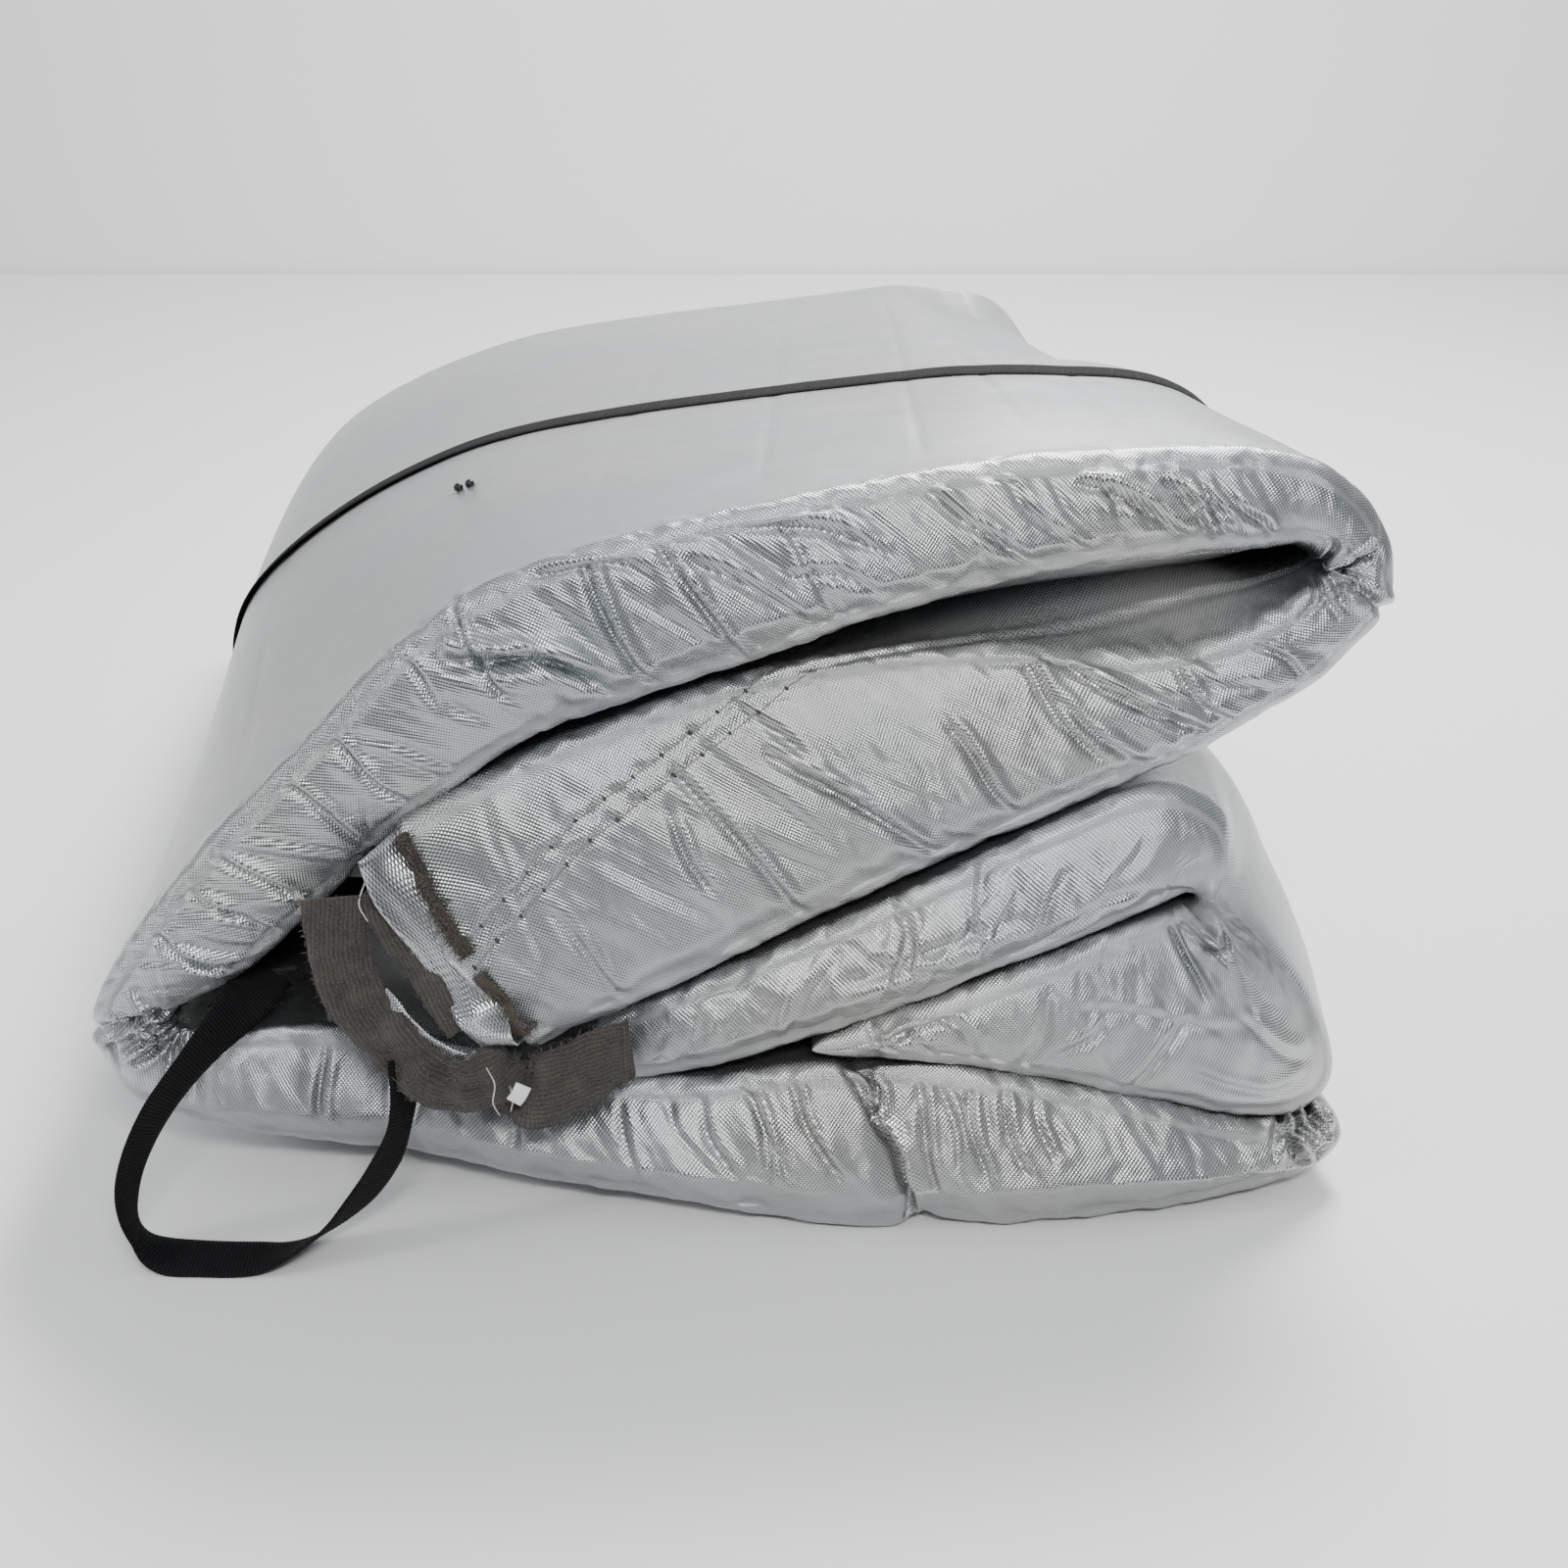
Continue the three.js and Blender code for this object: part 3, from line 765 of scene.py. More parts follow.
outer_marks = [outer.mark(*crease) for crease in LONG_CREASES]
outer_marks += scattered(outer, lip_left + 40, lip_right, 30, 0.9, 0.9, 2.0, -0.4, 0.45)
outer_marks += scattered(outer, leaf_right, leaf_left, 22, 0.8, 0.9, 1.9, -0.5, 0.45, 14)
outer_marks += scattered(outer, leaf_left - 40, left_fold_at, 15, 0.4, 1.2, 1.8, -0.5, 0.4, 8)
outer_marks += scattered(outer, valley_at - 80, valley_at - 6, 22, 0.35, 0.9, 1.6, -0.5, 0.1)
outer_marks += scattered(outer, valley_at + 6, valley_at + 95, 30, -0.3, 0.7, 1.5, -0.4, 0.0)
outer_marks += scattered(outer, valley_at + 90, curl_at, 34, 0.5, 0.7, 2.0, -0.5, 0.2)
for middle, wide in ((top_fold_at, 26), (left_fold_at, 32), (curl_at, 20)):
    for offset in np.linspace(-wide, wide, 7) + CHANCE.uniform(-4, 4, 7):
        deep = CHANCE.uniform(0.9, 3.4)
        outer_marks.append((
            middle + 0.45 * offset, -24, middle + offset, CHANCE.uniform(-14, 8), deep,
            CHANCE.uniform(1.3, 2.3),
        ))
    for height in (-12, -3, 6):
        outer_marks.append((
            middle + CHANCE.uniform(-18, -6), height, middle + CHANCE.uniform(4, 16),
            height + CHANCE.uniform(-5, 5), CHANCE.uniform(0.8, 1.8), 2.0,
        ))
outer_marks += [
    (left_fold_at - 16, -18, left_fold_at - 12, 22, 4.0, 2.2),
    (curl_at - 14, -14, curl_at - 4, 10, 4.5, 1.8),
    (top_fold_at - 5, -16, top_fold_at - 6, 24, 3.2, 1.8),
]
for row in seam_rows():
    for (x0, z0), (x1, z1) in zip(row[:-1], row[1:]):
        outer_marks.append((*outer.where(x0, z0), *outer.where(x1, z1), 0.9, 1.1))

# The valley: a narrow groove in a wider recess, slanting down the band, and three sharp
# creases that meet in it.
way = np.clip((outer.past + 46) / 80, 0, 1)
from_valley = outer.along - (valley_at - 12 + 16 * way)
near_valley = smooth(-np.abs(outer.past), -62, -34)
outer_body = -4.5 * np.exp(-((from_valley / 6) ** 2)) * near_valley
outer_body -= 3.0 * np.exp(-(((from_valley - 9) / 14) ** 2)) * near_valley
outer_marks += [
    outer.mark(33, 70, 34, 50, 3.6, 1.7), outer.mark(34, 54, 45, 28, 4.2, 1.7),
    outer.mark(45, 32, 48, 1, 3.6, 1.7),
]
outer_body += rumple(outer, 0.7, 10, 1.1, 3.1)
print("outer creases:", len(outer_marks))

# %% Creasing the inner skin
wedge_tip, wedge_end = inner.at(34, 76), inner.at(200, 70)
lower_lip_right, lower_lip_left = inner.at(150, 145), inner.at(-45, 75)

INNER_CREASES = [
    (69, 143, 73, 116, 1.2, 2.0), (42, 133, 46, 108, 1.6, 2.0), (129, 132, 95, 114, 1.4, 2.2),
    (88, 123, 22, 106, 1.2, 2.4), (36, 112, 60, 104, 1.0, 1.8), (148, 116, 181, 108, 2.4, 1.9),
    (146, 116, 157, 92, 2.2, 1.8), (150, 118, 168, 100, 2.0, 1.8), (111, 86, 173, 79, 0.8, 2.0),
    (173, 79, 206, 56, 1.2, 2.2), (108, 70, 121, 84, 1.2, 1.8), (131, 57, 155, 81, 1.4, 1.8),
    (37, 73, 57, 86, 2.0, 1.7), (36, 78, 50, 84, 1.8, 1.5), (150, 60, 200, 50, 1.0, 2.2),
]
inner_marks = [inner.mark(*crease) for crease in INNER_CREASES]
inner_marks += scattered(inner, wedge_tip + 4, wedge_tip + 40, 10, 0.6, 1.2, 1.6, -0.4, 0.4)
inner_marks += scattered(inner, wedge_tip + 40, wedge_end, 30, -0.6, 0.7, 2.0, -0.4, 0.3)
inner_marks += scattered(inner, lower_lip_right, lower_lip_left, 28, -0.6, 0.9, 2.0, -0.5, 0.3)
inner_body = rumple(inner, -0.4, 10, 0.9, 8.4)
print("inner creases:", len(inner_marks))

# %% [markdown]
# The top leaf is smooth, but not flat: it dips behind the strap at the right, and shows faint
# straight marks from its earlier folds.

# %% The top leaf's dip and faint marks
DIP = 17
on_top = outer.share > 0.99
x, depth, z = outer.flat[..., 0], outer.flat[..., 1], outer.flat[..., 2]
dip = smooth(x, 60, 190) * smooth(depth, 240, 400) * (1 - 0.75 * smooth(depth, 560, 650))
dip *= smooth(z, 150, 240)
waves = 0.9 * np.sin(depth / 61 + x / 90) * smooth(depth, 30, 120) * smooth(z, 120, 200)
faint = np.zeros(x.shape)
for k in range(9):
    centre = -230 + 55 * k + CHANCE.uniform(-12, 12)
    line = (x - centre - 0.12 * (depth - 200) * CHANCE.uniform(-1, 1)) / 2.2
    faint -= 0.35 * np.exp(-(line**2)) * smooth(depth, 20, 90)
outer.place[..., 2] -= DIP * MM * dip
outer_body += np.where(on_top & (z > 60), waves + faint, 0)
print("dip reaches", round(float(dip.max() * DIP), 1), "mm")

# %% Sim, then creases, then the final meshes
for skin, thing, body_height, marks in (
    (outer, outer_skin, outer_body, outer_marks),
    (inner, inner_skin, inner_body, inner_marks),
):
    skin.push(body_height)
    thing.data.vertices.foreach_set("co", skin.place.reshape(-1).astype(np.float32))
    let_go(skin, thing)
    finish_skin(skin, thing, marks)
    thing.data.materials.append(SILVER)

# %% [markdown]
# ## Bodies
# The outer skin bends across the left fold, so it is blended between the two bodies that the
# fold joins: what lies below a plane just over the bottom leaf stays, and the rest turns.

# %% Rides and blends
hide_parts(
    "top_leaf_cover", "top_leaf_foam", "top_fold", "upper_lip_cover",
    "upper_lip_foam", "left_fold", "bottom_left_cover", "bottom_left_foam",
    "bottom_right_cover", "bottom_right_foam", "right_fold",
)
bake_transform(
    outer_skin, "bottom", "upper",
    start=Vector((0, 0, 0.0745)) + Vector(SHIFT),
    end=Vector((0, 0.0002, 0.083)) + Vector(SHIFT),
)
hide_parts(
    "lower_lip_cover", "lower_lip_foam", "inner_leaf_cover", "inner_leaf_foam",
    "middle_fold",
)
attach(inner_skin, "lower")

# %% [markdown]
# ## Trim
# Webbing, tape and thread are swept along smooth routes. Everything that lies on the cloth is
# placed by looking for the cloth's real surface, so it sits on the creases and not in them.

# %% Helpers for the trim
from mathutils.bvhtree import BVHTree

CLOTH = {
    thing.name: BVHTree.FromObject(thing, bpy.context.evaluated_depsgraph_get())
    for thing in (outer_skin, inner_skin)
}


def front_of(x, z, skin="outer_skin", clear=0.6):
    """The place on the front of a skin, for x and z in the drawing, in millimetres."""
    start = Vector((x * MM, -0.3, z * MM)) + Vector(SHIFT)
    hit = CLOTH[skin].ray_cast(start, Vector((0, 1, 0)))[0]
    return [x, (hit.y - SHIFT[1]) / MM - clear, z]


def to_model(points):
    return np.array(points, float) * MM + SHIFT


def add_mesh(name, places, faces, material, uv=None):
    data = bpy.data.meshes.new(name)
    data.from_pydata(np.asarray(places).reshape(-1, 3).tolist(), [], faces)
    if uv is not None:
        layer = data.uv_layers.new(name="cloth")
        layer.data.foreach_set("uv", np.asarray(uv, np.float32).reshape(-1))
    data.materials.append(material)
    thing = bpy.data.objects.new(name, data)
    bpy.context.scene.collection.objects.link(thing)
    data.shade_smooth()
    return thing


RIB_PITCH = 1.36


def ribbon(name, line, sides, width, thick, count, material, rib=0.0, crumple=0.0):
    """A woven strip in model metres, from its centre line and its width directions in the
    drawing's millimetres. Ribs cross it and notch its edges, as on webbing."""
    both = np.hstack([np.array(line, float), np.array(sides, float)])
    found, run = smooth_line(both, count)
    centre, side = found[:, :3], found[:, 3:]
    way = np.gradient(centre, axis=0)
    way /= np.linalg.norm(way, axis=1, keepdims=True)
    side -= way * np.sum(side * way, axis=1, keepdims=True)
    side /= np.linalg.norm(side, axis=1, keepdims=True)
    up = np.cross(way, side)
    across = np.r_[np.linspace(-1, 1, 9), np.linspace(1, -1, 9)]
    face = np.r_[np.ones(9), -np.ones(9)]
    bulge = (1 - np.abs(across) ** 8) * 0.85 + 0.15
    wave = np.sin(2 * math.pi * run / RIB_PITCH)[:, None]
    reach = across * (width / 2 + rib * 0.8 * wave * (np.abs(across) > 0.9))
    high = face * bulge * (thick / 2 + rib * wave)
    if crumple:
        for i, s in enumerate(run):
            for j, w in enumerate(across):
                seed = Vector((s / 9, w * width / 18, len(name)))
                high[i, j] += crumple * 2 * noise.noise(seed)
    places = (
        centre[:, None] + side[:, None] * reach[..., None] + up[:, None] * high[..., None]
    )
    n, m = high.shape
    i, j = (g.ravel() for g in np.meshgrid(np.arange(n - 1), np.arange(m), indexing="ij"))
    k = (j + 1) % m
    faces = np.stack([i * m + j, (i + 1) * m + j, (i + 1) * m + k, i * m + k], -1)
    v = np.cumsum(np.r_[0, np.abs(np.diff(across))]) * width / 2
    v = np.r_[v, v[-1] + thick]
    uv = np.stack([
        np.stack([run[i], run[i + 1], run[i + 1], run[i]], -1),
        np.stack([v[j], v[j], v[j + 1], v[j + 1]], -1),
    ], -1) * MM
    ends = [list(range(m)), list(range((n - 1) * m, n * m))[::-1]]
    flat_uv = np.vstack([uv.reshape(-1, 2), np.zeros((2 * m, 2))])
    return add_mesh(name, to_model(places), faces.tolist() + ends, material, flat_uv)


def threads(name, runs, radius, material, sides=6):
    """Many short threads as one mesh. Each run is a list of places in model metres."""
    places, faces = [], []
    for run in runs:
        p = np.array(run, float)
        way = np.gradient(p, axis=0)
        way /= np.maximum(np.linalg.norm(way, axis=1, keepdims=True), 1e-9)
        guide = np.where(np.abs(way[:, 2:3]) < 0.9, [[0, 0, 1]], [[1, 0, 0]])
        a = np.cross(way, guide)
        a /= np.linalg.norm(a, axis=1, keepdims=True)
        b = np.cross(way, a)
        angle = np.linspace(0, 2 * math.pi, sides, endpoint=False)
        shape = np.sin(np.linspace(0.25, math.pi - 0.25, len(p))) ** 0.4 * radius
        circle = np.cos(angle)[None, :, None] * a[:, None]
        circle = circle + np.sin(angle)[None, :, None] * b[:, None]
        start = sum(len(x) for x in places)
        places.append((p[:, None] + circle * shape[:, None, None]).reshape(-1, 3))
        for i in range(len(p) - 1):
            for j in range(sides):
                k = (j + 1) % sides
                q = start + i * sides
                faces.append([q + j, q + k, q + sides + k, q + sides + j])
        faces.append([start + j for j in range(sides)][::-1])
        faces.append([start + (len(p) - 1) * sides + j for j in range(sides)])
    return add_mesh(name, np.vstack(places), faces, material)


def fibres(thing, count, length, spread=1.0):
    """Short curved fibres that stand out of a piece's surface, as runs for threads()."""
    data = thing.data
    runs = []
    for index in CHANCE.integers(0, len(data.polygons) - 2, count):
        face = data.polygons[int(index)]
        start = np.array(face.center)
        out = np.array(face.normal) + CHANCE.normal(0, 0.55, 3) * spread
        out /= np.linalg.norm(out)
        curl = CHANCE.normal(0, 0.5, 3)
        long = length * CHANCE.uniform(0.4, 1.3) * MM
        steps = np.linspace(0, 1, 4)[:, None]
        runs.append(start + long * (out * steps + curl * steps**2 * 0.6))
    return runs


print("trim helpers ready")

# %% [markdown]
# Webbing is black ribbed polyester. The tape is worn and furry, so its colour breaks up from
# thread to thread and short fibres stand out of it.

# %% Trim materials


def webbing_finish():
    shade = Shade("black_webbing")
    along, across = shade.cloth_map()
    place = shade.place()
    ribs = (along * (2 * math.pi / (RIB_PITCH * MM))).sin() * 0.5 + 0.5
    twill = ((along * 2 + across) * (2 * math.pi / (0.9 * MM))).sin() * 0.5 + 0.5
    dust = shade.noise(place, 260.0, 3.0, 0.6)
    wear = (ribs * 0.55 + twill * 0.25 + dust * 0.3 - 0.25).clamp()
    shade.set(Base_Color=shade.mix(wear, (0.004, 0.004, 0.0045), (0.020, 0.020, 0.022)))
    shade.set(Roughness=0.62 + dust * 0.2)
    shade.bump(ribs * 0.7 + twill * 0.3, 0.5, 0.3 * MM)
    shade.bsdf.inputs["Specular IOR Level"].default_value = 0.12
    return shade.material


def tape_finish(name, dark, light, pitch):
    shade = Shade(name)
    along, across = shade.cloth_map()
    place = shade.place()
    blotch = shade.noise(place, 90.0, 4.0, 0.65)
    grain = shade.noise(place, 900.0, 2.0, 0.6)
    turn = 2 * math.pi / (pitch * MM)
    knit = ((along + across * 0.4) * turn).sin() * ((along - across * 0.4) * turn * 0.9).sin()
    knit = knit * 0.5 + 0.5
    tone = (knit * 0.45 + grain * 0.4 + blotch * 0.5 - 0.2).clamp()
    shade.set(Base_Color=shade.mix(tone, dark, light))
    shade.set(Roughness=0.75 + grain * 0.2)
    shade.bump(knit * 0.6 + grain * 0.4, 0.8, 0.6 * MM)
    shade.bsdf.inputs["Sheen Weight"].default_value = 0.12
    shade.bsdf.inputs["Specular IOR Level"].default_value = 0.2
    return shade.material


def thread_finish(name, dark, light, rough=0.7):
    shade = Shade(name)
    tone = shade.noise(shade.place(), 700.0, 2.0, 0.6)
    shade.set(Base_Color=shade.mix(tone, dark, light), Roughness=rough + tone * 0.15)
    return shade.material


WEBBING = webbing_finish()
TAPE = tape_finish("worn_tape", (0.006, 0.0055, 0.005), (0.125, 0.112, 0.10), 1.3)
HOOKS = tape_finish("hook_side", (0.004, 0.004, 0.004), (0.03, 0.03, 0.03), 1.2)
BINDING = tape_finish("frayed_binding", (0.018, 0.014, 0.011), (0.13, 0.105, 0.085), 0.9)
THREAD = thread_finish("grey_thread", (0.16, 0.155, 0.15), (0.34, 0.33, 0.32))
KNOT = thread_finish("dark_thread", (0.02, 0.018, 0.017), (0.08, 0.075, 0.07))
FUZZ = thread_finish("tape_fuzz", (0.03, 0.027, 0.024), (0.20, 0.18, 0.16))
PALE_THREAD = thread_finish("pale_thread", (0.45, 0.43, 0.40), (0.62, 0.60, 0.56))
LABEL = thread_finish("label_cloth", (0.74, 0.75, 0.76), (0.84, 0.84, 0.84))
BEAD = thread_finish("black_bead", (0.004, 0.004, 0.005), (0.012, 0.012, 0.014), 0.08)
print("trim materials ready")

# %% [markdown]
# ### Strap and pull loop
# The strap lies over the top leaf on a slant and follows its real surface. The pull loop
# hangs out of the gap, stands on the floor on its edge and comes back up under the tape.

# %% Strap and pull loop
STRAP_WIDTH, STRAP_THICK = 20.0, 1.4
STRAP_CLEAR = 0.9  # from the cloth to the strap's middle, in millimetres
OVER_TOP = [
    (-262, 0, 90), (-216, 0, 148), (-175, 0, 189), (-138, 0, 227), (-110, 0, 250), (-69, 0, 265),
    (34, 0, 282), (120, 0, 288), (172, 0, 287), (200, 0, 282), (217, 0, 268), (225, 0, 246),
    (223, 0, 226),
]
STRAP_Y_LEFT, STRAP_Y_RIGHT = 345, 250
section, _ = smooth_line(OVER_TOP, 240)
slope = np.gradient(section, axis=0)
slope /= np.linalg.norm(slope, axis=1, keepdims=True)
strap_line = []
for k in np.linspace(0.04, 0.96, 46):
    step = round(k * (len(section) - 1))
    (x, _, z), (dx, _, dz) = section[step], slope[step]
    y = STRAP_Y_LEFT + (STRAP_Y_RIGHT - STRAP_Y_LEFT) * k
    front = bundle_front(x, z)
    over = Vector(settle(x - 12 * dz, (y - front) / (1 - front / LENGTH), z + 12 * dx))
    hit = CLOTH["outer_skin"].find_nearest(over)[0]
    out = (over - hit).normalized()
    strap_line.append((np.array(hit + out * STRAP_CLEAR * MM) - SHIFT) / MM)
strap_sides = [(0.05, 1.0, -0.03)] * len(strap_line)
strap = ribbon(
    "top_strap_webbing", strap_line, strap_sides, STRAP_WIDTH, STRAP_THICK, 1800, WEBBING, 0.1
)
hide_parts("top_strap")
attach(strap, "upper")

PULL_LOOP = [
    # x, y, z of the middle, then the width's direction
    (-200, 50, 88, 0.8, 0.5, -0.2), (-207, 30, 84, 0.7, 0.65, -0.3),
    (-220, 12, 73, 0.5, 0.8, -0.35), (-234, -2, 57, 0.42, 0.85, -0.35),
    (-243, -10, 39, 0.3, 0.9, -0.3), (-246, -13, 22, 0.1, 0.95, -0.3),
    (-243, -15, 9, -0.15, 0.98, -0.1), (-233, -17, 2.6, -0.1, 1, 0.12),
    (-218, -18, 1.8, 0, 1, 0.1), (-200, -18, 1.8, 0.05, 1, 0.06),
    (-186, -16, 4.2, 0.1, 1, -0.2), (-172, -12, 11, 0.25, 0.93, -0.38),
    (-160, -9, 22, 0.48, 0.8, -0.35), (-150, -6, 36, 0.5, 0.8, -0.3),
    (-144, -2, 50, 0.35, 0.88, -0.2), (-142, 2, 62, 0.35, 0.9, -0.1), (-142, 6, 76, 0.4, 0.9, 0),
]
pull_loop = ribbon(
    "pull_loop_webbing", [p[:3] for p in PULL_LOOP], [p[3:] for p in PULL_LOOP],
    STRAP_WIDTH, STRAP_THICK, 1500, WEBBING, 0.13,
)
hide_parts("pull_loop")
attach(pull_loop, "pull_loop")
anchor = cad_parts["pull_loop_anchor"]
anchor.data.materials.clear()
anchor.data.materials.append(
    thread_finish("anchor_webbing", (0.006, 0.006, 0.007), (0.03, 0.03, 0.034))
)
print("strap", len(strap.data.vertices), "pull loop", len(pull_loop.data.vertices), "points")

# %% [markdown]
# ### The lip's left end
# The lip's cloth runs past the foam into a loose flap with a cut edge. Frayed binding holds
# the foam's end, and the felled seam runs up across the lip with two rows of stitches.

# %% Flap, bindings and seam
HELD_EDGE = [
    (-141, 160), (-133, 147), (-125, 133), (-116, 119), (-112, 112), (-103, 101), (-94, 90),
    (-84, 80),
]
CUT_EDGE = [
    (-153, 6, 155), (-150, 5, 142), (-142, 5, 128), (-134, 5, 114), (-127, 3, 104),
    (-121, -2, 95), (-111, -4, 84), (-99, -3, 74),
]
FLAP_COLUMNS = 16
FLAP_STEP = 1.4 * MM  # what one cell of the flap measures on its map
held = np.array([front_of(x, z, clear=-1.5) for x, z in HELD_EDGE])
cut = np.array(CUT_EDGE, float)
rim, _ = smooth_line(np.hstack([held, cut]), 90)
flap_places = []
for i, row in enumerate(rim):
    t = i / (len(rim) - 1)
    tuck = math.exp(-(((t - 0.56) / 0.05) ** 2)) + 0.6 * math.exp(-(((t - 0.70) / 0.04) ** 2))
    for v in np.linspace(0, 1, FLAP_COLUMNS):
        p = row[:3] * (1 - v) + row[3:] * v
        ripple = noise.noise(Vector((t * 7, v * 1.5, 4.2)))
        ripple += 0.5 * noise.noise(Vector((t * 16, v * 3, 9.0)))
        p[1] += v * (3.0 * ripple - 5.0 * tuck + 2.5 * v)
        p[0] += 1.6 * v * noise.noise(Vector((t * 22, 3.0, 1.0)))
        flap_places.append(p)
flap_cells = [
    [(i, j), (i, j + 1), (i + 1, j + 1), (i + 1, j)]
    for i in range(len(rim) - 1) for j in range(FLAP_COLUMNS - 1)
]
flap_faces = [[i * FLAP_COLUMNS + j for i, j in cell] for cell in flap_cells]
flap_uv = [[(i * FLAP_STEP, j * FLAP_STEP) for i, j in cell] for cell in flap_cells]
flap = add_mesh("lip_flap", to_model(flap_places), flap_faces, SILVER, flap_uv)
thicken = flap.modifiers.new("thicken", "SOLIDIFY")
thicken.thickness = 0.5 * MM
thicken.offset = 0
with bpy.context.temp_override(object=flap, active_object=flap):
    bpy.ops.object.modifier_apply(modifier="thicken")
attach(flap, "upper")

trim_fibres = {"upper": [], "hook_tail": []}
for side, ends in (
    ("upper", [(-140, 159), (-132, 146), (-124, 132), (-115, 119)]),
    ("lower", [(-112, 112), (-103, 101), (-94, 90), (-86, 81)]),
):
    line = [front_of(x, z, clear=1.2) for x, z in ends]
    strip = ribbon(
        f"binding_{side}", line, [(0.8, 0.1, 0.6)] * len(line), 5.2, 1.5, 120, BINDING,
        crumple=1.1,
    )
    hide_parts(f"edge_binding_{side}")
    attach(strip, "upper")
    trim_fibres["upper"] += fibres(strip, 1100, 2.8, 1.3)
    row = [to_model(front_of(x, z, clear=2.3)) for x, z in ends]
    trim_fibres["upper"].append(smooth_line(row, 30)[0])

seam_runs, seam_knots = [], []
for row in seam_rows():
    for (x0, z0), (x1, z1) in zip(row[:-1], row[1:]):
        run = []
        for t in np.linspace(0.06, 0.94, 7):
            x, z = x0 + (x1 - x0) * t, z0 + (z1 - z0) * t
            run.append(to_model(front_of(x, z, clear=0.15)))
        seam_runs.append(run)
        knot = to_model(front_of(x0, z0, clear=0.2))
        across = np.array([0.7, 0, -0.7]) * MM
        seam_knots.append([knot - across, knot, knot + across])
stitches = threads("seam_stitches", seam_runs, 0.32 * MM, THREAD)
knots = threads("seam_knots", seam_knots, 0.6 * MM, KNOT)
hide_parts("felled_seam")
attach(stitches, "upper")
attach(knots, "upper")
print("flap", len(flap.data.vertices), "points;", len(seam_runs), "seam threads")

# %% [markdown]
# ### Tapes
# The loop tape is bunched round the left end of the mouth, and the hook tape's tail curls
# forward off the lower lip with its black side in.

# %% Tapes, label and fuzz
LOOP_TAPE = [
    (-165, 14, 138, 1, 0, 0.15), (-163, 8, 118, 1, 0, 0.05), (-156, 3, 100, 0.9, 0.1, 0.45),
    (-144, -1, 85, 0.75, -0.1, 0.65), (-131, -4, 73, 0.5, 0, 0.85), (-119, -6, 70, 0.08, -0.1, 1),
    (-107, -5, 73, -0.3, 0, 0.95), (-99, -1, 79, -0.45, 0.1, 0.9),
]
loop_tape = ribbon(
    "loop_tape_band", [p[:3] for p in LOOP_TAPE], [p[3:] for p in LOOP_TAPE],
    23.0, 2.0, 240, TAPE, crumple=2.6,
)
INNER_TAPE = [
    (-150, 13, 140, 0.8, 0, 0.4), (-144, 11, 126, 0.8, 0.1, 0.5), (-134, 8, 112, 0.7, 0, 0.7),
    (-126, 4, 99, 0.7, 0.2, 0.6), (-119, 1, 90, 0.6, 0.2, 0.7),
]
inner_tape = ribbon(
    "loop_tape_inside", [p[:3] for p in INNER_TAPE], [p[3:] for p in INNER_TAPE],
    11.0, 1.6, 120, TAPE, crumple=1.2,
)
silver_strip = ribbon(
    "mouth_strip", [(-148, 4, 104), (-138, 0, 92), (-127, -3, 83), (-118, -4, 79)],
    [(0.7, 0.1, 0.7)] * 4, 7.0, 0.8, 90, SILVER, crumple=0.8,
)
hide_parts("loop_tape")
for thing, slot_name in (
    (loop_tape, "tape"), (inner_tape, "tape"), (silver_strip, "silver_fabric"),
):
    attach(thing, "upper")
trim_fibres["upper"] += fibres(loop_tape, 2600, 1.5) + fibres(inner_tape, 500, 1.5)
for side in (-9.5, 9.5):
    row = []
    for x, y, z, a, b, c in LOOP_TAPE:
        row.append((x + side * a, y + side * b - 1.9, z + side * c))
    trim_fibres["upper"].append(smooth_line(to_model(row), 60)[0])

HOOK_TAIL = [
    (-57, 9, 77, -0.05, 0, 1), (-66, 3, 76, -0.1, 0, 1), (-76, -2, 73, -0.15, 0.1, 1),
    (-86, -5, 69, -0.3, 0.3, 0.9), (-94, -4, 66, -0.45, 0.6, 0.65), (-99, 1, 67, -0.5, 0.8, 0.3),
]
hook_tail = ribbon(
    "hook_tail_band", [p[:3] for p in HOOK_TAIL], [p[3:] for p in HOOK_TAIL],
    27.0, 1.6, 130, TAPE, crumple=1.8,
)
hook_inside = ribbon(
    "hook_tail_inside", [(x + 1.5, y + 3.2, z + 3) for x, y, z, *_ in HOOK_TAIL[2:]],
    [p[3:] for p in HOOK_TAIL[2:]], 24.0, 1.0, 60, HOOKS, crumple=0.6,
)
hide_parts("hook_tape_tail")
for thing in (hook_tail, hook_inside):
    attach(thing, "hook_tail")
trim_fibres["hook_tail"] += fibres(hook_tail, 1100, 1.5)
stitch_row = [(-59, 3.5, z) for z in range(64, 91, 2)]
trim_fibres["hook_tail"].append(to_model(stitch_row))

for body, runs in trim_fibres.items():
    fuzz = threads(f"fuzz_{body}", runs, 0.16 * MM, FUZZ, 3)
    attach(fuzz, body)
LOOSE_ENDS = [
    ([(-109, -9, 80), (-106, -11, 74), (-107, -11, 66), (-105, -10, 60)], 24),
    ([(-101, -7, 71), (-100, -9, 66), (-101, -9, 61)], 16),
    ([(-150, 2, 150), (-152, -1, 143), (-149, -3, 137)], 16),
]
loose_runs = [smooth_line(to_model(route), count)[0] for route, count in LOOSE_ENDS]
loose = threads("loose_threads", loose_runs, 0.3 * MM, PALE_THREAD)
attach(loose, "upper")

label = ribbon(
    "care_label_cloth", [(-99.5, -10.5, 66), (-97.5, -10.5, 69), (-95.5, -10, 73)],
    [(0.85, 0, -0.5)] * 3, 6.0, 0.5, 24, LABEL, crumple=0.3,
)
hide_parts("care_label")
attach(label, "upper")
print("fuzz runs:", {body: len(runs) for body, runs in trim_fibres.items()})

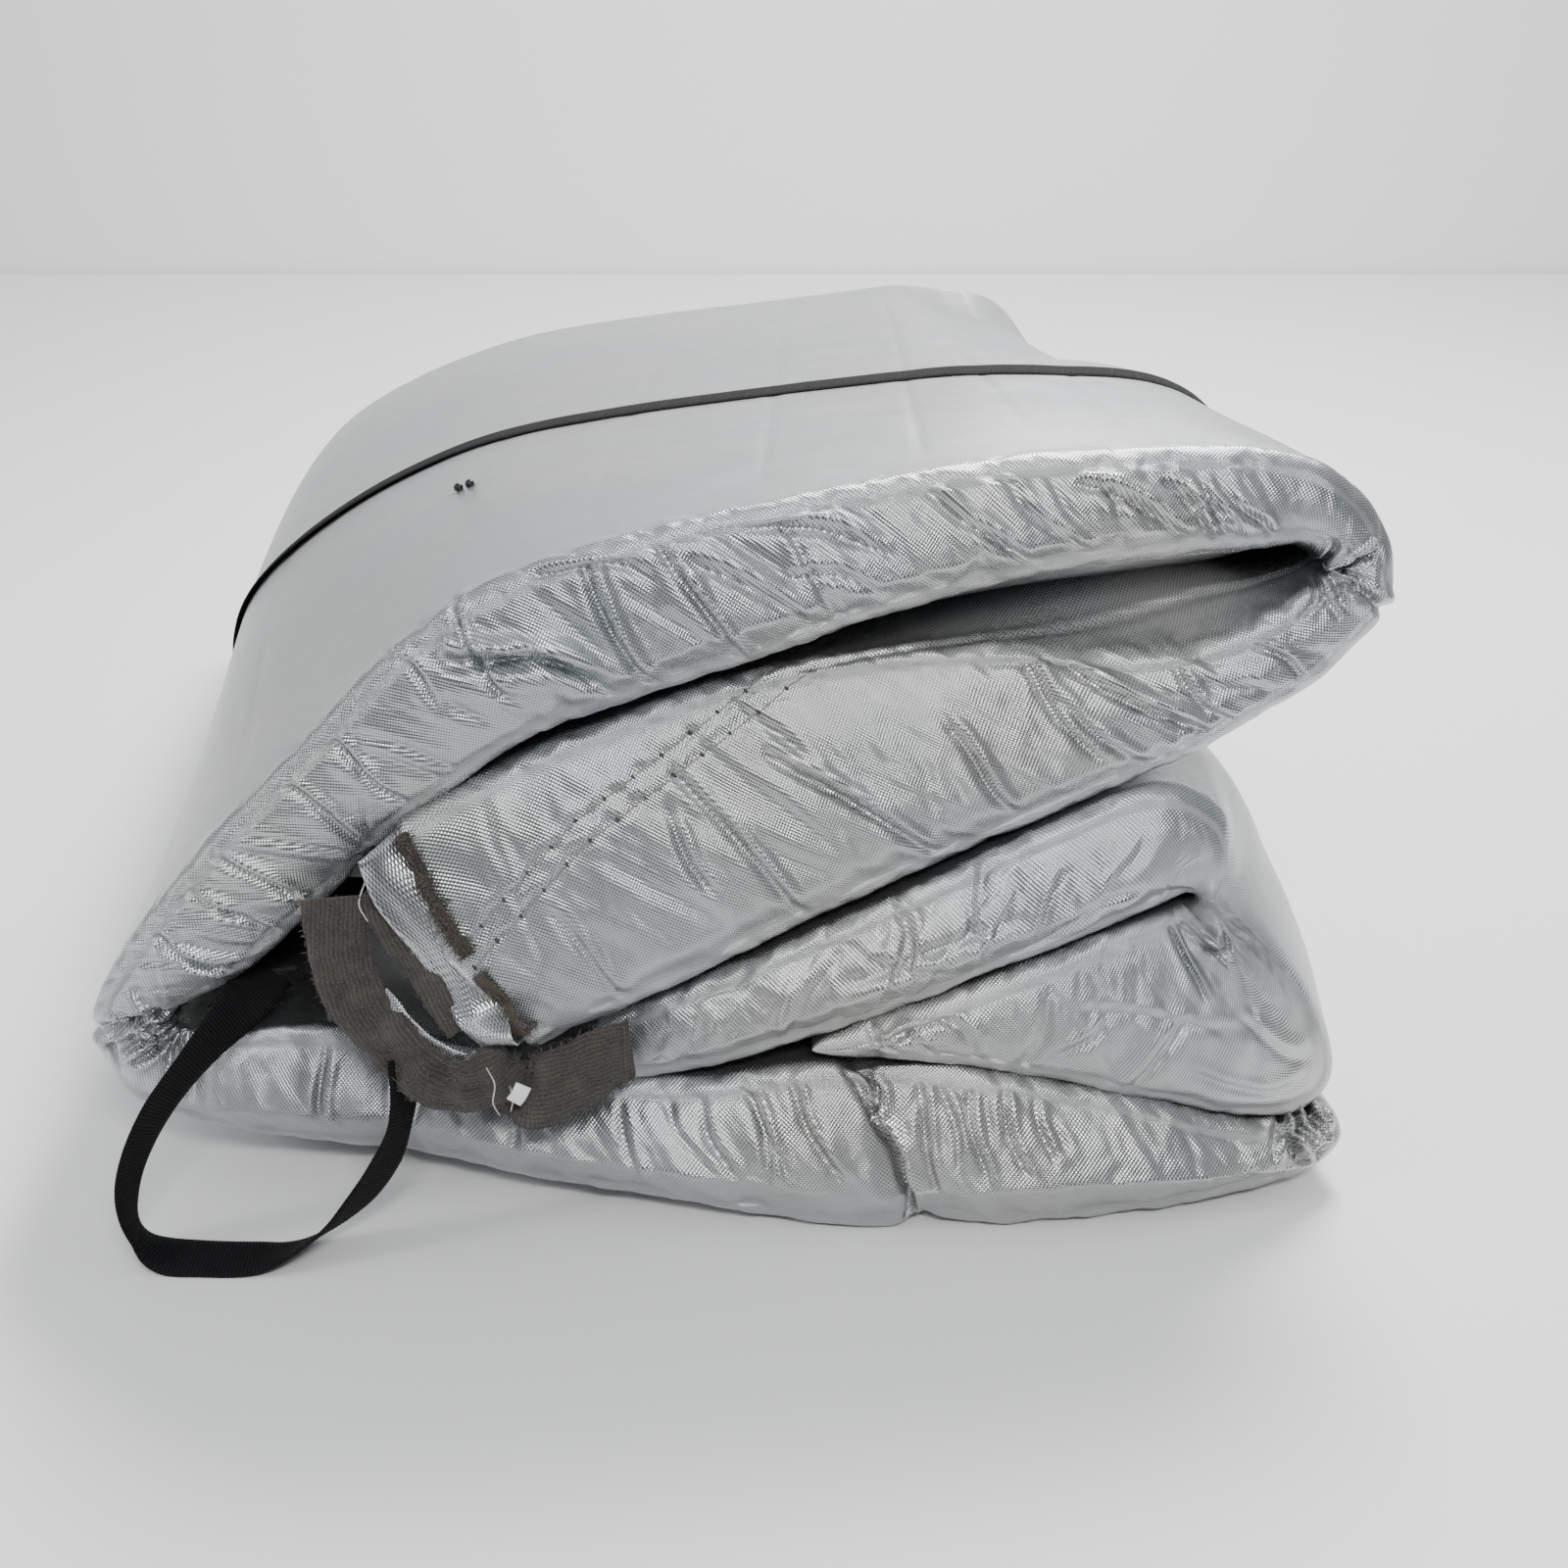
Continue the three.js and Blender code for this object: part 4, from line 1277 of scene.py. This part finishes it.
# %% [markdown]
# ### Tack
# Two black beads sit in a short slit near the strap.

# %% Beads and slit
BEAD_RADIUS, BEAD_STANDS_OUT = 2.1 * MM, 1.0 * MM
beads = []
for side, name in ((-1, "left"), (1, "right")):
    low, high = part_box(f"tack_bead_{name}")
    middle = (low + high) / 2
    hit, normal = CLOTH["outer_skin"].find_nearest(middle)[:2]
    bpy.ops.mesh.primitive_uv_sphere_add(segments=32, ring_count=20, radius=BEAD_RADIUS)
    bead = bpy.context.object
    bead.name = f"bead_{name}"
    bead.data.transform(bead.matrix_world)
    for v in bead.data.vertices:
        v.co = v.co + hit + normal * BEAD_STANDS_OUT + Vector((side * 0.3 * MM, 0, 0))
    bead.matrix_world.identity()
    bead.data.materials.append(BEAD)
    bead.data.shade_smooth()
    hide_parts(f"tack_bead_{name}")
    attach(bead, "upper")
    beads.append(np.array(hit))
slit_runs = []
centre = (beads[0] + beads[1]) / 2
for side in (-1, 1):
    run = []
    for t in np.linspace(1.5, 8.5, 8):
        p = Vector(centre) + Vector((side * t * MM, side * t * 0.35 * MM, 0))
        hit, normal = CLOTH["outer_skin"].find_nearest(p)[:2]
        run.append(np.array(hit + normal * 0.1 * MM))
    slit_runs.append(run)
slit = threads("tack_thread", slit_runs, 0.35 * MM, PALE_THREAD)
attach(slit, "upper")
print("beads at", [tuple(b.round(3)) for b in beads])

# %% [markdown]
# ## Studio
# A pale floor, a pale backdrop and three lights. The floor is painted dark towards the front,
# as painted shade of the unlit room that the cloth mirrors. The metallised cloth shows what it
# mirrors, so the sky gets brighter with height, and the small lights make the highlights on the folds.

# %% Floor and lights


def floor_finish():
    """Pale where the bundle stands, painted dark towards the front as the shade of the unlit room that the
    cloth mirrors, and palest on the wall.
    """
    shade = Shade("pale_floor")
    place = shade.place()
    parts = shade.node("ShaderNodeSeparateXYZ", None, Vector=place)
    depth, height = shade.value(parts.outputs[1]), shade.value(parts.outputs[2])
    cloud = shade.noise(place, 2.0, 3.0)
    pale = shade.mix(cloud, (0.84, 0.84, 0.84), (0.88, 0.88, 0.88))
    # Painted shade: from 0.55 m in front of the origin the floor fades to dark, fully dark past 1.05 m, so
    # the cloth mirrors darkness as from an unlit room.
    front = ((depth + 1.05) * 2.0).clamp()
    pale = shade.mix((height * 50.0).clamp(), pale, (0.97, 0.97, 0.97))
    shade.set(Base_Color=shade.mix(front, (0.30, 0.30, 0.31), pale), Roughness=0.6)
    return shade.material


HALF_WIDE, NEAR, FAR, WALL = 4, -3, 1.6, 3
floor_mesh = bpy.data.meshes.new("floor")
floor_mesh.from_pydata(
    [
        (-HALF_WIDE, NEAR, 0), (HALF_WIDE, NEAR, 0), (HALF_WIDE, FAR, 0), (-HALF_WIDE, FAR, 0),
        (HALF_WIDE, FAR, WALL), (-HALF_WIDE, FAR, WALL),
    ],
    [], [(0, 1, 2, 3), (3, 2, 4, 5)],
)
floor = bpy.data.objects.new("floor", floor_mesh)
bpy.context.scene.collection.objects.link(floor)
floor_mesh.materials.append(floor_finish())

world = bpy.data.worlds.new("studio")
world.use_nodes = True
sky = world.node_tree
direction = sky.nodes.new("ShaderNodeTexCoord").outputs["Generated"]
split = sky.nodes.new("ShaderNodeSeparateXYZ")
sky.links.new(direction, split.inputs[0])
tilt = sky.nodes.new("ShaderNodeMath")
tilt.operation = "MULTIPLY_ADD"
sky.links.new(split.outputs[1], tilt.inputs[0])
tilt.inputs[1].default_value = 0.45
sky.links.new(split.outputs[2], tilt.inputs[2])
ramp = sky.nodes.new("ShaderNodeMapRange")
for socket, amount in (
    ("From Min", -0.15), ("From Max", 0.9), ("To Min", 0.05), ("To Max", 0.95),
):
    ramp.inputs[socket].default_value = amount
sky.links.new(tilt.outputs[0], ramp.inputs[0])
sky.links.new(ramp.outputs[0], sky.nodes["Background"].inputs[1])
sky.nodes["Background"].inputs[0].default_value = (0.93, 0.97, 1.0, 1)
bpy.context.scene.world = world


def soft_light(name, place, target, size, power):
    data = bpy.data.lights.new(name, "AREA")
    data.shape = "RECTANGLE"
    data.size, data.size_y = size
    data.energy = power
    lamp = bpy.data.objects.new(name, data)
    lamp.location = place
    lamp.rotation_euler = (Vector(target) - Vector(place)).to_track_quat("-Z", "Y").to_euler()
    bpy.context.scene.collection.objects.link(lamp)


soft_light("top_light", (0.45, 0.75, 1.55), (0, 0, 0.1), (0.6, 0.45), 50)
soft_light("left_light", (-1.7, -0.9, 1.0), (0, 0, 0.15), (0.3, 0.4), 8)
soft_light("front_light", (0.25, -1.7, 1.5), (0, 0, 0.15), (0.8, 0.25), 24)
